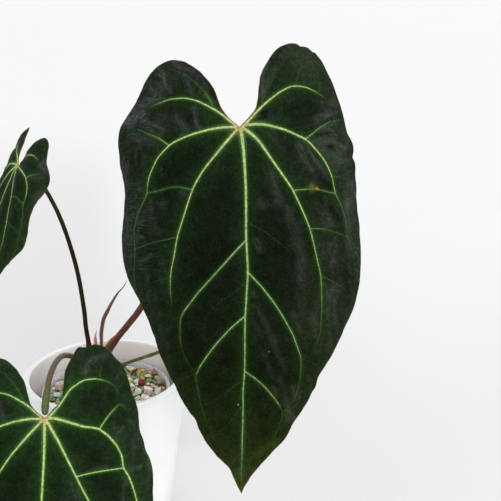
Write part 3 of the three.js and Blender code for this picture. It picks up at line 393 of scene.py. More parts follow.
# Streaks between the veins: u0, v0, u1, v1, half width, strength, kind. Kind p is painted sheen, g a grey tone with
# painted sheen, w broad bands of painted dull sheen, d dark creases with painted shade; l, G, b and y are lighter
# green, deep green, brown and yellow tones.
MAIN_STREAKS = [
    (-91.6, -5.7, -70.9, -12.2, 2.6, 1.0, 'p'), (-76.1, -17.2, -56.7, -22.5, 2.2, 0.75, 'p'), (-84.5, -13.2, -74.3, -18.6, 2.2, 0.8, 'p'),
    (-58.6, -43.0, -51.1, -25.9, 1.1, 0.8, 'p'), (-54.0, -36.8, -51.9, -30.5, 0.5, 0.9, 'd'), (-39.7, -38.6, -34.3, -22.6, 1.2, 0.6, 'p'),
    (-49.9, -49.1, -31.4, -39.5, 1.8, 0.55, 'p'), (-31.4, -39.5, -21.9, -27.4, 1.5, 0.5, 'p'), (-43.6, -47.5, -40.5, -43.3, 0.7, 0.6, 'd'),
    (-28.5, -34.9, -26.2, -30.4, 0.6, 0.6, 'd'), (-24.0, -27.4, -21.1, -22.3, 0.7, 0.6, 'd'), (-65.7, -27.1, -55.9, -30.8, 2.6, 0.5, 'p'),
    (-32.8, -13.9, -29.2, 2.7, 1.1, 0.75, 'p'), (-46.5, -7.8, -35.9, 5.5, 1.5, 0.55, 'p'), (-43.5, 6.8, -38.9, 5.4, 1.1, 0.5, 'g'),
    (-74.6, -6.2, -54.5, 2.2, 1.3, 0.7, 'p'), (-86.2, 7.0, -59.5, 9.3, 4.4, 0.35, 'g'), (-24.8, -24.5, -19.0, -15.1, 1.5, 0.7, 'l'),
    (-71.2, 0.2, -57.8, 5.7, 1.5, 0.5, 'G'), (16.4, -40.7, 16.0, -22.3, 1.1, 0.6, 'g'), (20.4, -46.6, 16.8, -37.0, 1.1, 0.45, 'g'),
    (10.3, -6.9, 15.3, -9.0, 0.9, 0.6, 'g'), (13.2, -5.1, 19.6, -7.2, 0.7, 1.0, 'd'), (20.7, -10.1, 21.4, -5.0, 0.6, 0.6, 'p'),
    (53.3, -6.0, 68.1, -12.4, 1.5, 0.55, 'p'), (66.4, -19.3, 74.2, -20.1, 1.8, 0.45, 'p'), (50.2, 11.7, 72.3, 9.8, 1.8, 0.6, 'p'),
    (55.7, 16.0, 71.4, 20.1, 1.8, 0.5, 'p'), (63.8, 13.7, 68.9, 14.3, 1.1, 0.7, 'd'), (41.7, 11.9, 45.6, 24.0, 1.1, 0.5, 'p'),
    (48.6, 19.7, 52.5, 13.9, 1.1, 0.5, 'p'), (64.7, 19.5, 81.2, 16.3, 0.9, 0.5, 'p'), (68.0, 26.1, 85.8, 23.7, 0.7, 0.4, 'g'),
    (22.6, 31.3, 29.2, 56.4, 1.5, 0.5, 'p'), (33.2, 56.5, 42.6, 76.3, 1.9, 0.32, 'p'), (42.6, 76.3, 47.1, 115.7, 2.1, 0.32, 'p'),
    (62.1, 71.9, 70.6, 70.0, 3.3, 0.32, 'p'), (82.8, 53.7, 87.3, 92.2, 2.9, 0.5, 'g'), (87.9, 38.6, 90.4, 50.8, 1.8, 0.5, 'g'),
    (72.4, 36.3, 88.8, 34.9, 0.4, 0.6, 'g'), (12.5, 54.2, 20.4, 55.7, 1.6, 0.32, 'b'), (20.4, 55.7, 25.5, 57.1, 0.4, 0.5, 'y'),
    (11.8, 80.3, 15.4, 90.5, 1.8, 0.4, 'p'), (8.9, 118.7, 11.8, 124.6, 1.5, 0.4, 'p'), (58.2, 34.9, 70.0, 44.5, 1.8, 0.9, 'd'),
    (68.6, 57.1, 78.7, 70.4, 0.9, 0.8, 'd'), (79.7, 76.5, 82.6, 81.3, 0.7, 0.6, 'd'), (66.7, 120.8, 80.8, 118.2, 3.3, 0.32, 'p'),
    (62.4, 115.2, 69.4, 126.5, 1.8, 0.4, 'p'), (23.9, 192.2, 27.8, 200.3, 1.5, 0.3, 'g'), (34.7, 202.3, 38.0, 220.6, 1.5, 0.35, 'p'),
    (40.1, 192.5, 43.4, 204.8, 1.8, 0.4, 'p'), (0.5, 260.4, 0.5, 270.7, 1.8, 0.5, 'g'), (3.6, 220.1, 2.1, 249.3, 0.9, 0.4, 'g'),
    (8.9, 248.9, 30.4, 236.6, 2.9, 0.6, 'y'), (-89.3, 65.1, -89.6, 88.6, 2.4, 0.22, 'p'), (-95.2, 23.4, -90.1, 46.2, 1.8, 0.4, 'g'),
    (-90.0, 27.3, -88.4, 32.6, 0.4, 0.7, 'g'), (-80.0, 71.6, -74.5, 69.1, 0.6, 0.5, 'g'), (-83.4, 82.6, -73.2, 82.0, 0.9, 0.5, 'p'),
    (-57.0, 86.5, -54.6, 86.4, 0.7, 0.5, 'g'), (-43.7, 45.7, -40.7, 50.0, 1.8, 0.35, 'g'), (-61.4, 56.9, -53.2, 55.3, 2.2, 0.25, 'g'),
    (-77.5, 100.9, -67.4, 94.7, 1.1, 0.5, 'p'),
    # painted sheen streaks, with a brown and a grey one, on the right half below the middle
    (11.0, 128.7, 18.4, 142.2, 1.3, 0.30, 'p'), (15.4, 136, 26.4, 158.2, 1.2, 0.32, 'p'), (21.4, 149.0, 30.2, 171.1, 1.6, 0.30, 'p'),
    (26.4, 160.0, 33.2, 180.1, 1.1, 0.28, 'p'), (17.0, 166.1, 24.2, 184.7, 1.3, 0.24, 'p'), (7.4, 137.5, 16.2, 154.4, 1.2, 0.20, 'p'),
    (54.7, 136.8, 58.4, 158.0, 1.6, 0.32, 'p'), (67.6, 147.6, 71.4, 163.9, 1.4, 0.28, 'p'), (45.6, 178.3, 55.6, 192.6, 2.0, 0.30, 'b'),
    (35.6, 211.8, 42.9, 222.9, 2.0, 0.40, 'g'), (39.5, 135.2, 45.2, 150.9, 1.3, 0.26, 'p'), (28.4, 184.2, 34.7, 198.9, 1.3, 0.22, 'p'),
    # painted sheen along a crease beside the right lobe's inner edge
    (15.8, -22.1, 20.4, -34.0, 1.0, 0.7, 'p'), (20.4, -34.0, 26.7, -43.0, 0.9, 0.55, 'p'),
    # painted sheen and painted shade in swirls on the right shoulder
    (55.7, -3.1, 73.4, -12.7, 1.0, 0.85, 'p'), (59.8, 2.0, 75.2, -5.9, 0.8, 0.75, 'p'), (43.1, 10.8, 48.6, 23.1, 0.8, 0.75, 'p'),
    (48.5, 10.6, 55.8, 25.1, 0.8, 0.75, 'p'), (62.3, 7.8, 82.6, 15.9, 1.0, 0.75, 'p'), (64.9, 19.7, 80.8, 23.7, 0.8, 0.65, 'p'),
    (66.3, 13.4, 70.2, 14.5, 1.8, 0.85, 'd'), (54.2, 20.8, 62.5, 33.9, 0.8, 0.70, 'p'), (46.2, 23.1, 53.4, 31.8, 0.9, 0.70, 'p'),
    (52.0, 15.5, 60.5, 24.0, 0.7, 0.60, 'd'), (58.5, 6.0, 70.0, 3.5, 0.7, 0.55, 'd'),
    # broad bands of painted dull sheen
    (19, 30, 31, 62, 3.2, 0.18, 'w'), (32, 62, 43, 96, 3.6, 0.22, 'w'), (43, 96, 46, 136, 3.8, 0.24, 'w'), (60, 56, 72, 74, 6.0, 0.28, 'w'),
    (66, 84, 76, 108, 8.0, 0.30, 'w'), (74, 116, 70, 146, 8.0, 0.30, 'w'), (60, -2, 76, 6, 7.0, 0.42, 'w'), (84, 40, 92, 72, 6.0, 0.34, 'w'),
    (90, 84, 92, 118, 6.0, 0.34, 'w'), (62, -14, 74, -24, 6.0, 0.35, 'w'), (30, -54, 46, -52, 5.0, 0.14, 'w'), (-84, 0, -70, -12, 8.0, 0.26, 'w'),
    (-66, -26, -44, -44, 6.0, 0.22, 'w'), (-92, 20, -88, 44, 4.0, 0.22, 'w'), (-88, 62, -90, 96, 4.0, 0.10, 'w'),
    (36, 196, 40, 224, 6.0, 0.20, 'w'), (-62, -8, -40, -2, 6.0, 0.26, 'w'), (56, 30, 68, 38, 4.0, 0.35, 'w'), (22, 4, 30, 18, 3.5, 0.3, 'w'),
    # the left lobe's inner edge curls back, with painted shadow along it and a little painted sheen
    (-46, -49.8, -33, -43.0, 1.8, 0.45, 'd'), (-33, -43.0, -23, -32.0, 1.9, 0.55, 'd'), (-23, -32.0, -16.8, -19.0, 1.6, 0.55, 'd'), (-36, -42.5, -25.5, -31.5, 1.0, 0.35, 'p'),
    # painted shade in crumpled creases on the right
    (13, -9.5, 20, -10.5, 1.3, 1.0, 'd'), (20, -10.5, 21, -5.5, 0.9, 0.9, 'd'), (56, 30, 66, 40, 2.2, 0.9, 'd'), (66, 40, 70, 46, 1.2, 0.8, 'd'),
    (68, 58, 72, 66, 1.0, 0.8, 'd'), (72, 66, 80, 72, 0.9, 0.7, 'd'), (59, 50, 64, 60, 1.1, 0.6, 'd'), (50, 78, 56, 92, 1.0, 0.35, 'd'),
]
FRONT_STREAKS = [
    (27.6, -32.6, 29.0, -41.6, 1.7, 0.95, 'p'), (29.0, -41.6, 34.7, -46.6, 1.7, 0.9, 'p'), (34.7, -46.6, 44.6, -50.9, 1.5, 0.55, 'p'),
    (50.9, -31.3, 55.4, -37.7, 0.7, 0.5, 'p'), (54.7, 10.3, 60.1, 4.9, 0.7, 0.5, 'g'), (53.7, 13.3, 55.7, 16.5, 0.7, 0.4, 'g'),
    (64.7, 36.7, 74.5, 33.6, 1.1, 0.6, 'p'), (74.5, 33.6, 78.4, 33.1, 0.7, 0.3, 'p'), (61.1, 41.1, 64.4, 48.1, 1.5, 0.4, 'g'),
    (67.9, 51.7, 69.7, 56.6, 1.1, 0.4, 'g'), (36.3, 37.2, 48.8, 34.6, 0.9, 0.45, 'g'), (72.5, -0.2, 82.5, 36.2, 1.5, 0.5, 'l'),
    (-60, -20, -42, -26, 2.2, 0.6, 'p'), (-34, -12, -29, 3, 1.2, 0.5, 'p'), (-70, 3, -52, 8, 1.4, 0.5, 'p'), (-78, 60, -77, 84, 2.4, 0.45, 'p'),
    (20, 30, 34, 70, 4.5, 0.3, 'w'), (60, 60, 66, 88, 5.0, 0.35, 'w'), (-62, -6, -40, -2, 5.0, 0.35, 'w'), (-70, 30, -72, 60, 5.0, 0.3, 'w'), (66, 0, 78, 30, 4.0, 0.3, 'w'),
    (20, 60, 26, 96, 2.2, 0.4, 'p'), (-20, 66, -13, 80, 1.6, 0.35, 'g'), (58, 92, 66, 84, 2.0, 0.45, 'p'), (26, 128, 30, 142, 1.4, 0.4, 'p'),
]


def scaled(vein, su, sv, cut=1e9, width=0.9):
    """A vein of the main blade carried over to a smaller one; parts below the lobes shrink by cut."""
    pts = [(p[0] * su, p[1] * sv if p[1] < 40 else 40 * sv + (p[1] - 40) * cut) for p in vein[0]]
    return [pts, [(t, w * width) for t, w in vein[1]], vein[2], vein[3]]


# The front blade's right half has its own veins; its left half repeats the main blade's, smaller.
FRONT_VEINS = [scaled(v, .88, .92, .70) for v in MAIN_VEINS if np.mean([p[0] for p in v[0]]) < -3]
FRONT_VEINS += [
    [[(0.4, 0.6), (1.2, 12), (2.2, 30), (2.6, 60), (2.6, 100), (2, 140), (1, 175), (0.4, 202)],
     [(0, 2.9), (.07, 2.5), (.3, 2.1), (.7, 1.6), (.9, 1.0), (1, .6)], [(0, 1), (.6, .9), (.85, .6), (1, .25)], 0],
    [[(.6, .6), (4.6, -2.4), (8.6, -7.0), (13.4, -14.5), (18.2, -21.6), (27.6, -28.7), (36, -30.2), (38.8, -30.1), (44.3, -28.9), (49.5, -26.4), (51.6, -24.4), (55, -19.5)],
     [(0, 2.3), (.4, 1.7), (.7, 1.2), (1, .6)], [(0, 1), (.6, .9), (.8, .5), (.9, .3), (1, .12)], 0],
    [[(.8, .1), (8, .3), (18, 3), (30.2, 6.4), (36, 6.8), (41.5, 7.9), (48.6, 12.8), (54.7, 19.1), (59, 26.7), (60.6, 35.1), (64.6, 41), (67.7, 47.5), (71.6, 58.3), (74.2, 75), (73, 95)],
     [(0, 2.5), (.4, 1.9), (.62, 1.7), (.72, 1.3), (.85, .9), (1, .6)], [(0, 1), (.5, .96), (.8, .85), (.9, .5), (1, .2)], 0],
    [[(41.5, 7.9), (45.2, 1.5), (49.6, -5.0), (55.2, -11.6), (59.6, -9.4), (62.6, -4.6)], [(0, 1.2), (.7, .8), (1, .5)], [(0, .8), (.5, .62), (.72, .45), (1, .1)], 1],
    [[(26.5, 42.2), (32.1, 40.6), (43, 38.2), (51.4, 36.8), (60.3, 35.4)], [(0, 1.2), (1, 1.05)], [(0, .8), (1, .85)], 1],
    [[(1.2, 1), (4, 5), (12, 17), (22, 34), (32, 51.2), (36.4, 58.5), (44, 75), (49, 98), (50.5, 118), (48, 138)],
     [(0, 2.6), (.25, 1.9), (.45, 1.6), (.7, 1.1), (1, .6)], [(0, 1), (.5, .92), (.8, .7), (1, .2)], 0],
    [[(44.4, 76), (54, 74.5), (63, 75.5), (73.8, 79)], [(0, .9), (1, .6)], [(0, .5), (1, .3)], 1],
    [[(2.6, 78), (10, 86), (22, 101), (30, 114), (35, 128), (33, 141), (27, 152)], [(0, 1.4), (.6, .9), (1, .5)], [(0, .85), (.6, .7), (1, .15)], 1],
    [[(2.1, 134), (9, 141), (16, 151), (19.5, 160), (16, 171)], [(0, 1.1), (.6, .8), (1, .5)], [(0, .7), (.6, .5), (1, .1)], 1],
    [[(2.6, 50), (14, 56), (25, 64)], [(0, .8), (1, .4)], [(0, .2), (1, .03)], 2],
    [[(38.6, -30), (40, -42), (42, -50)], [(0, .8), (1, .5)], [(0, .25), (1, .06)], 2],
    [[(50.5, 118), (58, 121), (64, 126)], [(0, .7), (1, .5)], [(0, .2), (1, .05)], 2],
    [[(73, 62), (79, 64), (84, 66)], [(0, .7), (1, .5)], [(0, .2), (1, .05)], 2],
]
LEFT_VEINS = [[[(-p[0] * LEFT_SIZE, p[1] * LEFT_SIZE) for p in v[0]], [(t, w * .74) for t, w in v[1]], v[2], v[3]] for v in MAIN_VEINS]
LEFT_STREAKS = [(-s[0] * LEFT_SIZE, s[1] * LEFT_SIZE, -s[2] * LEFT_SIZE, s[3] * LEFT_SIZE, s[4] * .7, s[5] * .8, s[6]) for s in MAIN_STREAKS[::2]]


VEIN_WIDTH = 0.62


def vein_line(points, spacing):
    """Veins run nearly straight between their nodes, with small bends at them."""
    P = np.asarray(points, float)
    smooth = curve(P, 10)
    w = (np.arange(10) / 10)[:, None]
    straight = np.vstack([P[i] * (1 - w) + P[i + 1] * w for i in range(len(P) - 1)] + [P[-1:]])
    return resample(smooth * 0.45 + straight * 0.55, spacing)


def polyline_distance(p, line):
    """Distance of points p to a line, and the share of its length at the nearest place."""
    a, d = line[:-1], np.diff(line, axis=0)
    ln = np.linalg.norm(d, axis=1)
    s0 = np.r_[0, np.cumsum(ln)]
    best = np.full(len(p), 1e9)
    share = np.zeros(len(p))
    for lo in range(0, len(p), 6000):
        q = p[lo:lo + 6000]
        w = q[:, None, :] - a[None]
        t = np.clip((w * d[None]).sum(2) / (ln ** 2)[None], 0, 1)
        e = w - t[..., None] * d[None]
        r = np.sqrt((e ** 2).sum(2))
        k = r.argmin(1)
        rows = np.arange(len(q))
        best[lo:lo + 6000] = r[rows, k]
        share[lo:lo + 6000] = (s0[k] + t[rows, k] * ln[k]) / s0[-1]
    return best, share


def inside(poly, p):
    hit = np.zeros(len(p), bool)
    x, y = p[:, 0], p[:, 1]
    a, b = poly, np.roll(poly, 1, axis=0)
    for (xi, yi), (xj, yj) in zip(a, b):
        if yi == yj:
            continue
        hit ^= ((yi > y) != (yj > y)) & (x < (xj - xi) * (y - yi) / (yj - yi) + xi)
    return hit


def blade_points(outline, tip, veins, spacing, seed):
    """Flat points of a blade: its edge, the veins with lines beside them, and an even fill."""
    k = int(np.argmin(np.linalg.norm(np.asarray(outline) - tip, axis=1)))
    left = resample(curve(outline[:k + 1], 12), spacing)
    right = resample(curve(list(outline[k:]) + [outline[0]], 12), spacing)
    edge = np.vstack([left[:-1], right[:-1]])
    # small irregularities of the edge
    s = np.arange(len(edge)) * spacing
    out = edge - np.roll(edge, 1, axis=0)
    nrm = np.column_stack([-out[:, 1], out[:, 0]])
    nrm /= np.linalg.norm(nrm, axis=1)[:, None] + 1e-9
    keep_tips = step(3, 12, np.minimum.reduce([np.linalg.norm(edge - edge[0], axis=1), np.linalg.norm(edge - tip, axis=1)]))
    wobble = 0.22 * noise(np.column_stack([s / 5.0, s * 0]), seed) + 0.3 * noise(np.column_stack([s / 13.0, s * 0 + 5]), seed + 1)
    edge = edge + nrm * (wobble * keep_tips)[:, None]
    cell = 0.45
    taken = {}
    pts = [tuple(p) for p in edge]

    def add(p, near):
        cx, cy = int(math.floor(p[0] / cell)), int(math.floor(p[1] / cell))
        reach = int(math.ceil(near / cell))
        for i in range(cx - reach, cx + reach + 1):
            for j in range(cy - reach, cy + reach + 1):
                for q in taken.get((i, j), ()):
                    if (q[0] - p[0]) ** 2 + (q[1] - p[1]) ** 2 < near * near:
                        return False
        taken.setdefault((cx, cy), []).append(p)
        return True

    for p in edge:
        taken.setdefault((int(math.floor(p[0] / cell)), int(math.floor(p[1] / cell))), []).append(tuple(p))
    lines = []
    extra = []
    for points, widths, strengths, rank in veins:
        line = vein_line(points, spacing * (1.0 if rank < 2 else 1.3))
        lines.append(line)
        if rank == 2:
            extra.append((line, 0.55 * spacing))
            continue
        t = np.linspace(0, 1, len(line))
        w = VEIN_WIDTH * table(widths, t) / 2
        d = np.gradient(line, axis=0)
        n = np.column_stack([-d[:, 1], d[:, 0]]) / (np.linalg.norm(d, axis=1)[:, None] + 1e-9)
        extra.append((line, 0.3))
        offsets = [(w, 0.32), (w + 0.75, 0.45)] + ([(w * 0.5, 0.3)] if rank == 0 and w.max() > 0.8 else [])
        for off, near in offsets:
            for side in (-1, 1):
                extra.append((line + side * n * off[:, None], near))
    for cloud, near in extra:
        ok = inside(edge, cloud)
        for p, good in zip(cloud.tolist(), ok):
            if good and add(tuple(p), near):
                pts.append(tuple(p))
    lo, hi = edge.min(0), edge.max(0)
    row = spacing * math.sqrt(3) / 2
    rng = np.random.default_rng(seed)
    gy = np.arange(lo[1], hi[1], row)
    fill = []
    for j, y in enumerate(gy):
        gx = np.arange(lo[0] + (j % 2) * spacing / 2, hi[0], spacing)
        fill.append(np.column_stack([gx, np.full(len(gx), y)]))
    fill = np.vstack(fill)
    fill += rng.uniform(-0.12, 0.12, fill.shape) * spacing
    fill = fill[inside(edge, fill)]
    for p in fill.tolist():
        if add(tuple(p), 0.62 * spacing):
            pts.append(tuple(p))
    return np.array(pts), len(edge)


def blade_fields(P, outline_edge, veins, streaks, seed, size=1.0):
    """What each point of a blade needs: distances to the edge and the veins, ribs, valleys, streaks."""
    n = len(P)
    closed = np.vstack([outline_edge, outline_edge[:1]])
    md, ms = polyline_distance(P, closed[::2] if len(closed) % 2 else np.vstack([closed[::2], closed[-1:]]))
    md[:len(outline_edge)] = 0
    perimeter = np.linalg.norm(np.diff(closed, axis=0), axis=1).sum()
    e_best = np.full(n, 60.0)
    s_best = np.zeros(n)
    rank_best = np.full(n, 2.0)
    rib, under, valley, halo, dq = np.zeros(n), np.zeros(n), np.zeros(n), np.zeros(n), np.full(n, 60.0)
    core = np.zeros(n)
    for points, widths, strengths, rank in veins:
        line = vein_line(points, 1.6)
        reach = 24 if rank < 2 else 10
        near = np.where(((P > line.min(0) - reach) & (P < line.max(0) + reach)).all(1))[0]
        if not len(near):
            continue
        d, t = polyline_distance(P[near], line)
        w = VEIN_WIDTH * table(widths, t)
        s = table(strengths, t)
        e = d - w / 2
        x = np.clip(1 - (d / (w / 2 + 0.12)) ** 2, 0, None)
        lift = {0: 0.34, 1: 0.2, 2: 0.05}[rank] * w / 2 * (0.4 + 0.6 * s)
        rib[near] = np.maximum(rib[near], lift * x ** 0.6)
        wide = w / 2 * (1.35 if rank == 0 else 1.2) + 0.15
        xu = np.clip(1 - (d / wide) ** 2, 0, None)
        under[near] = np.maximum(under[near], {0: 0.95, 1: 0.75, 2: 0.35}[rank] * w * (0.35 + 0.65 * s) * 0.62 * xu ** 0.62)
        depth, sigma = {0: (1.0, 5.0), 1: (0.55, 3.6), 2: (0.22, 2.4)}[rank]
        valley[near] = np.maximum(valley[near], depth * (0.3 + 0.7 * s) * np.exp(-(d / sigma) ** 2))
        if rank < 2:
            dq[near] = np.minimum(dq[near], d)
            halo[near] = np.maximum(halo[near], (1.0 if rank == 0 else 0.62) * s * np.exp(-np.clip(e, 0, None) / (5.0 if rank == 0 else 2.6)))
        better = e < e_best[near]
        idx = near[better]
        e_best[idx] = e[better]
        s_best[idx] = s[better]
        rank_best[idx] = rank
        core[near] = np.maximum(core[near], np.where(rank == 0, np.clip(1 - d / (0.42 * w + 1e-6), 0, 1) * step(0.45, 1, s), 0))
    masks = {k: np.zeros(n) for k in "pgdlGbyw"}
    # along and across the grain: out from the sinus, unless a streak gives its own direction
    away = P - P[0]
    fibre = np.column_stack([np.arctan2(away[:, 0], away[:, 1] + 1e-6) * 60, np.linalg.norm(away, axis=1)])
    strongest = np.full(n, 0.08)
    crease = np.zeros(n)
    for u0, v0, u1, v1, hw, strength, kind in streaks:
        if kind == "p":
            hw, strength = hw * 1.35, strength * 0.85
        a, b = np.array([u0, v0]), np.array([u1, v1])
        ab = b - a
        ln = np.linalg.norm(ab)
        t = np.clip(((P - a) @ ab) / ln ** 2, -0.2, 1.2)
        q = a + t[:, None] * ab
        r = np.linalg.norm(P - q, axis=1)
        # a streak wanders a little, frays along its sides and fades at its ends
        wob = 1 + 0.45 * noise(P / 3.0, seed + 3)
        fray = 0.8 + 0.2 * noise(np.column_stack([(P - a) @ ab / ln / 7.0, r * np.sign((P - a)[:, 0] * ab[1] - (P - a)[:, 1] * ab[0]) / 0.9]), seed + int(abs(u0 * 7)) % 97)
        m = strength * np.exp(-((r / (hw * 1.25 * wob)) ** 2)) * step(-0.2, 0.15, t) * step(1.2, 0.85, t) * fray
        if kind == "w":
            m = m * np.clip(0.75 + 0.8 * noise(np.column_stack([(P - a) @ ab / ln / 9.0, r / 3.0 + u0]), seed + 17), 0, 1)
        masks[kind] = np.maximum(masks[kind], m)
        if kind in "pgl":
            rel = (P - a) @ ab / ln
            acr = ((P - a)[:, 0] * ab[1] - (P - a)[:, 1] * ab[0]) / ln
            own = m > strongest
            fibre[own] = np.column_stack([acr, rel])[own] + [u0, v0]
            strongest = np.maximum(strongest, m)
        crease += {"p": 0.32, "g": 0.15, "d": -1.0, "l": 0.1, "G": 0, "b": 0, "y": 0, "w": 0.04}[kind] * m * min(1.0, hw)
    return dict(md=md, ms=ms, e=e_best, s=s_best, rank=rank_best, rib=rib, under=under, valley=valley, halo=halo, dq=dq, core=core, masks=masks, crease=crease, fibre=fibre, perimeter=perimeter)


def blade_shape(P, F, seed, size=1.0, curls=()):
    """How far the upper surface stands off the smooth middle surface."""
    n3 = np.column_stack([P, np.zeros(len(P))])
    md, dq = F["md"], F["dq"]
    bulge = 0.95 * (1 - np.exp(-np.clip(dq, 0, 40) / 7.0)) * step(0, 9, md)
    pucker = 0.30 * noise(P / 11.0, seed) + 0.16 * noise(P / 5.2, seed + 1) + 0.05 * noise(P / 2.1, seed + 2)
    pucker *= step(0, 3, dq) * 0.8 + 0.2
    # pleats that run in from the edge
    ring = F["ms"] * F["perimeter"] / 6.8 + 0.55 * noise(P / 21.0, seed + 7)
    band = step(0.5, 6, md) * step(20, 9, md)
    patchy = np.clip(0.55 + 0.9 * noise(P / 26.0, seed + 5), 0, 1)
    lean = md * 0.06
    pleat = 0.30 * np.sin(2 * math.pi * (ring + lean) + 2.4 * noise(P / 15.0, seed + 6)) * band * patchy
    # crest mask of the pleats, which only carries painted sheen
    F["pleat"] = np.clip(np.cos(2 * math.pi * (ring + lean) + 2.4 * noise(P / 15.0, seed + 6)), 0, 1) ** 1.5 * band * patchy
    droop = -1.15 * np.clip(1 - md / 7.5, 0, 1) ** 2
    for cu, cv, radius, amount in curls:
        near = np.exp(-(((P[:, 0] - cu) ** 2 + (P[:, 1] - cv) ** 2) / radius ** 2))
        droop -= amount * near * np.clip(1 - md / 9.0, 0, 1) ** 2
    return bulge + pucker + pleat + droop - F["valley"] + F["crease"]


def blade_piece(name, B, outline, tip, veins, streaks, spacing, seed, slot, materials, tone, curls=(), size=1.0, thick=0.62):
    P, n_edge = blade_points(outline, np.array(tip), veins, spacing, seed)
    F = blade_fields(P, P[:n_edge], veins, streaks, seed, size)
    area = P[:n_edge]
    x, y = area.T
    ring = [(i, (i + 1) % n_edge) for i in range(n_edge)]
    res = delaunay_2d_cdt([Vector(p) for p in P.tolist()], ring, [], 0, 1e-7, True)
    remap = [o[0] if o else -1 for o in res[3]]
    tris = np.array([[remap[i] for i in f] for f in res[2]], int)
    tris = tris[(tris >= 0).all(1)]
    tris = tris[inside(P[:n_edge], P[tris].mean(1))]
    n = len(P)
    C, du, dv, N = blade_axes(B, P[:, 0], P[:, 1])
    lift = blade_shape(P, F, seed, size, curls)
    base = 0.30 + (thick - 0.30) * (1 - np.exp(-F["md"] / 2.0))
    top = C + N * (lift + base / 2 + F["rib"])[:, None]
    bottom = C + N * (lift - base / 2 - F["under"] * step(0, 3.5, F["md"] + 2.2 * (np.linalg.norm(P - P[0], axis=1) < 14)))[:, None]
    # faces
    a, b, c = (top[tris[:, k]] for k in range(3))
    up = (np.cross(b - a, c - a) * N[tris[:, 0]]).sum(1)
    if np.median(up) < 0:
        tris = tris[:, ::-1]
    ring_v = P[:n_edge] - np.roll(P[:n_edge], 1, axis=0) + np.roll(P[:n_edge], -1, axis=0) - P[:n_edge]
    sign = 1.0 if np.sum(x * np.roll(y, -1) - y * np.roll(x, -1)) > 0 else -1.0
    outn = np.column_stack([ring_v[:, 1], -ring_v[:, 0]]) * sign
    outn /= np.linalg.norm(outn, axis=1)[:, None] + 1e-9
    out3 = du[:n_edge] * outn[:, :1] + dv[:n_edge] * outn[:, 1:]
    mid = (top[:n_edge] + bottom[:n_edge]) / 2 + out3 * 0.15
    verts = np.vstack([top, bottom, mid])
    seen = {(int(p), int(q)) for t in tris for p, q in ((t[0], t[1]), (t[1], t[2]), (t[2], t[0]))}
    rim = []
    for i in range(n_edge):
        j = (i + 1) % n_edge
        if (i, j) in seen and (j, i) not in seen:
            p, q = i, j
        elif (j, i) in seen and (i, j) not in seen:
            p, q = j, i
        else:
            continue
        mp, mq = 2 * n + p, 2 * n + q
        rim += [(q, p, mp), (q, mp, mq), (mq, mp, n + p), (mq, n + p, n + q)]
    faces = np.vstack([tris, tris[:, ::-1] + n, np.array(rim)])
    mat = np.r_[np.zeros(len(tris), int), np.ones(len(tris), int), np.zeros(len(rim), int)]
    # colour of both sides
    upper = leaf_colour(P, F, tone, seed, size)
    # where the combed lines of painted sheen go
    sheen_comb = np.zeros(n)
    for cu, cv, ru, rv, amount in tone.get("sheen_combs", ()):
        sheen_comb = np.maximum(sheen_comb, amount * np.exp(-((P[:, 0] - cu) / ru) ** 2 - ((P[:, 1] - cv) / rv) ** 2))
    F["pleat"] = F["pleat"] * step(170, 110, P[:, 1] / size)
    lower = under_colour(P, F, tone, seed)
    k = np.r_[np.arange(n), np.arange(n), np.arange(n_edge)]
    colour = np.vstack([upper, lower, upper[:n_edge]])
    span = max(np.ptp(P[:, 0]) * 2.06, np.ptp(P[:, 1])) * 1.02
    uv_top = (P - P.min(0)) / span + 0.005
    uv_low = uv_top + [np.ptp(P[:, 0]) * 1.03 / span, 0]
    # Painted sheen (streaks, mottling, pleat crests) goes into one float, the painted shade of the dark creases into
    # another.
    ob = make_piece(
        name, verts, faces, materials, face_material=mat,
        floats={"fib_a": F["fibre"][k, 0], "fib_l": F["fibre"][k, 1], "satin": np.clip(F["masks"]["p"] + 0.7 * F["masks"]["g"] + F["masks"]["w"] * step(0.5, 3.0, F["e"]) + F["sheen_mottle"] + tone.get("pleats", 0.18) * F["pleat"], 0, 1)[k],
                "fold_shade": F["masks"]["d"][k], "sheen_comb": sheen_comb[k],
                "vein_e": F["e"][k], "vein_s": F["s"][k], "core": F["core"][k], "edge_mm": np.r_[F["md"], F["md"], np.zeros(n_edge)],
                "lu": P[k, 0], "lv": P[k, 1], "tip_d": np.linalg.norm(P - tip, axis=1)[k], "sin_d": np.linalg.norm(P - P[0], axis=1)[k]},
        colours={"leafcol": colour}, uv=np.vstack([uv_top, uv_low, uv_top[:n_edge]]))
    place(ob, slot, name.replace("_leaf", ""))
    print(name, "points", n, "triangles", len(faces), "edge", n_edge, "rim", len(rim) // 4)
    return ob


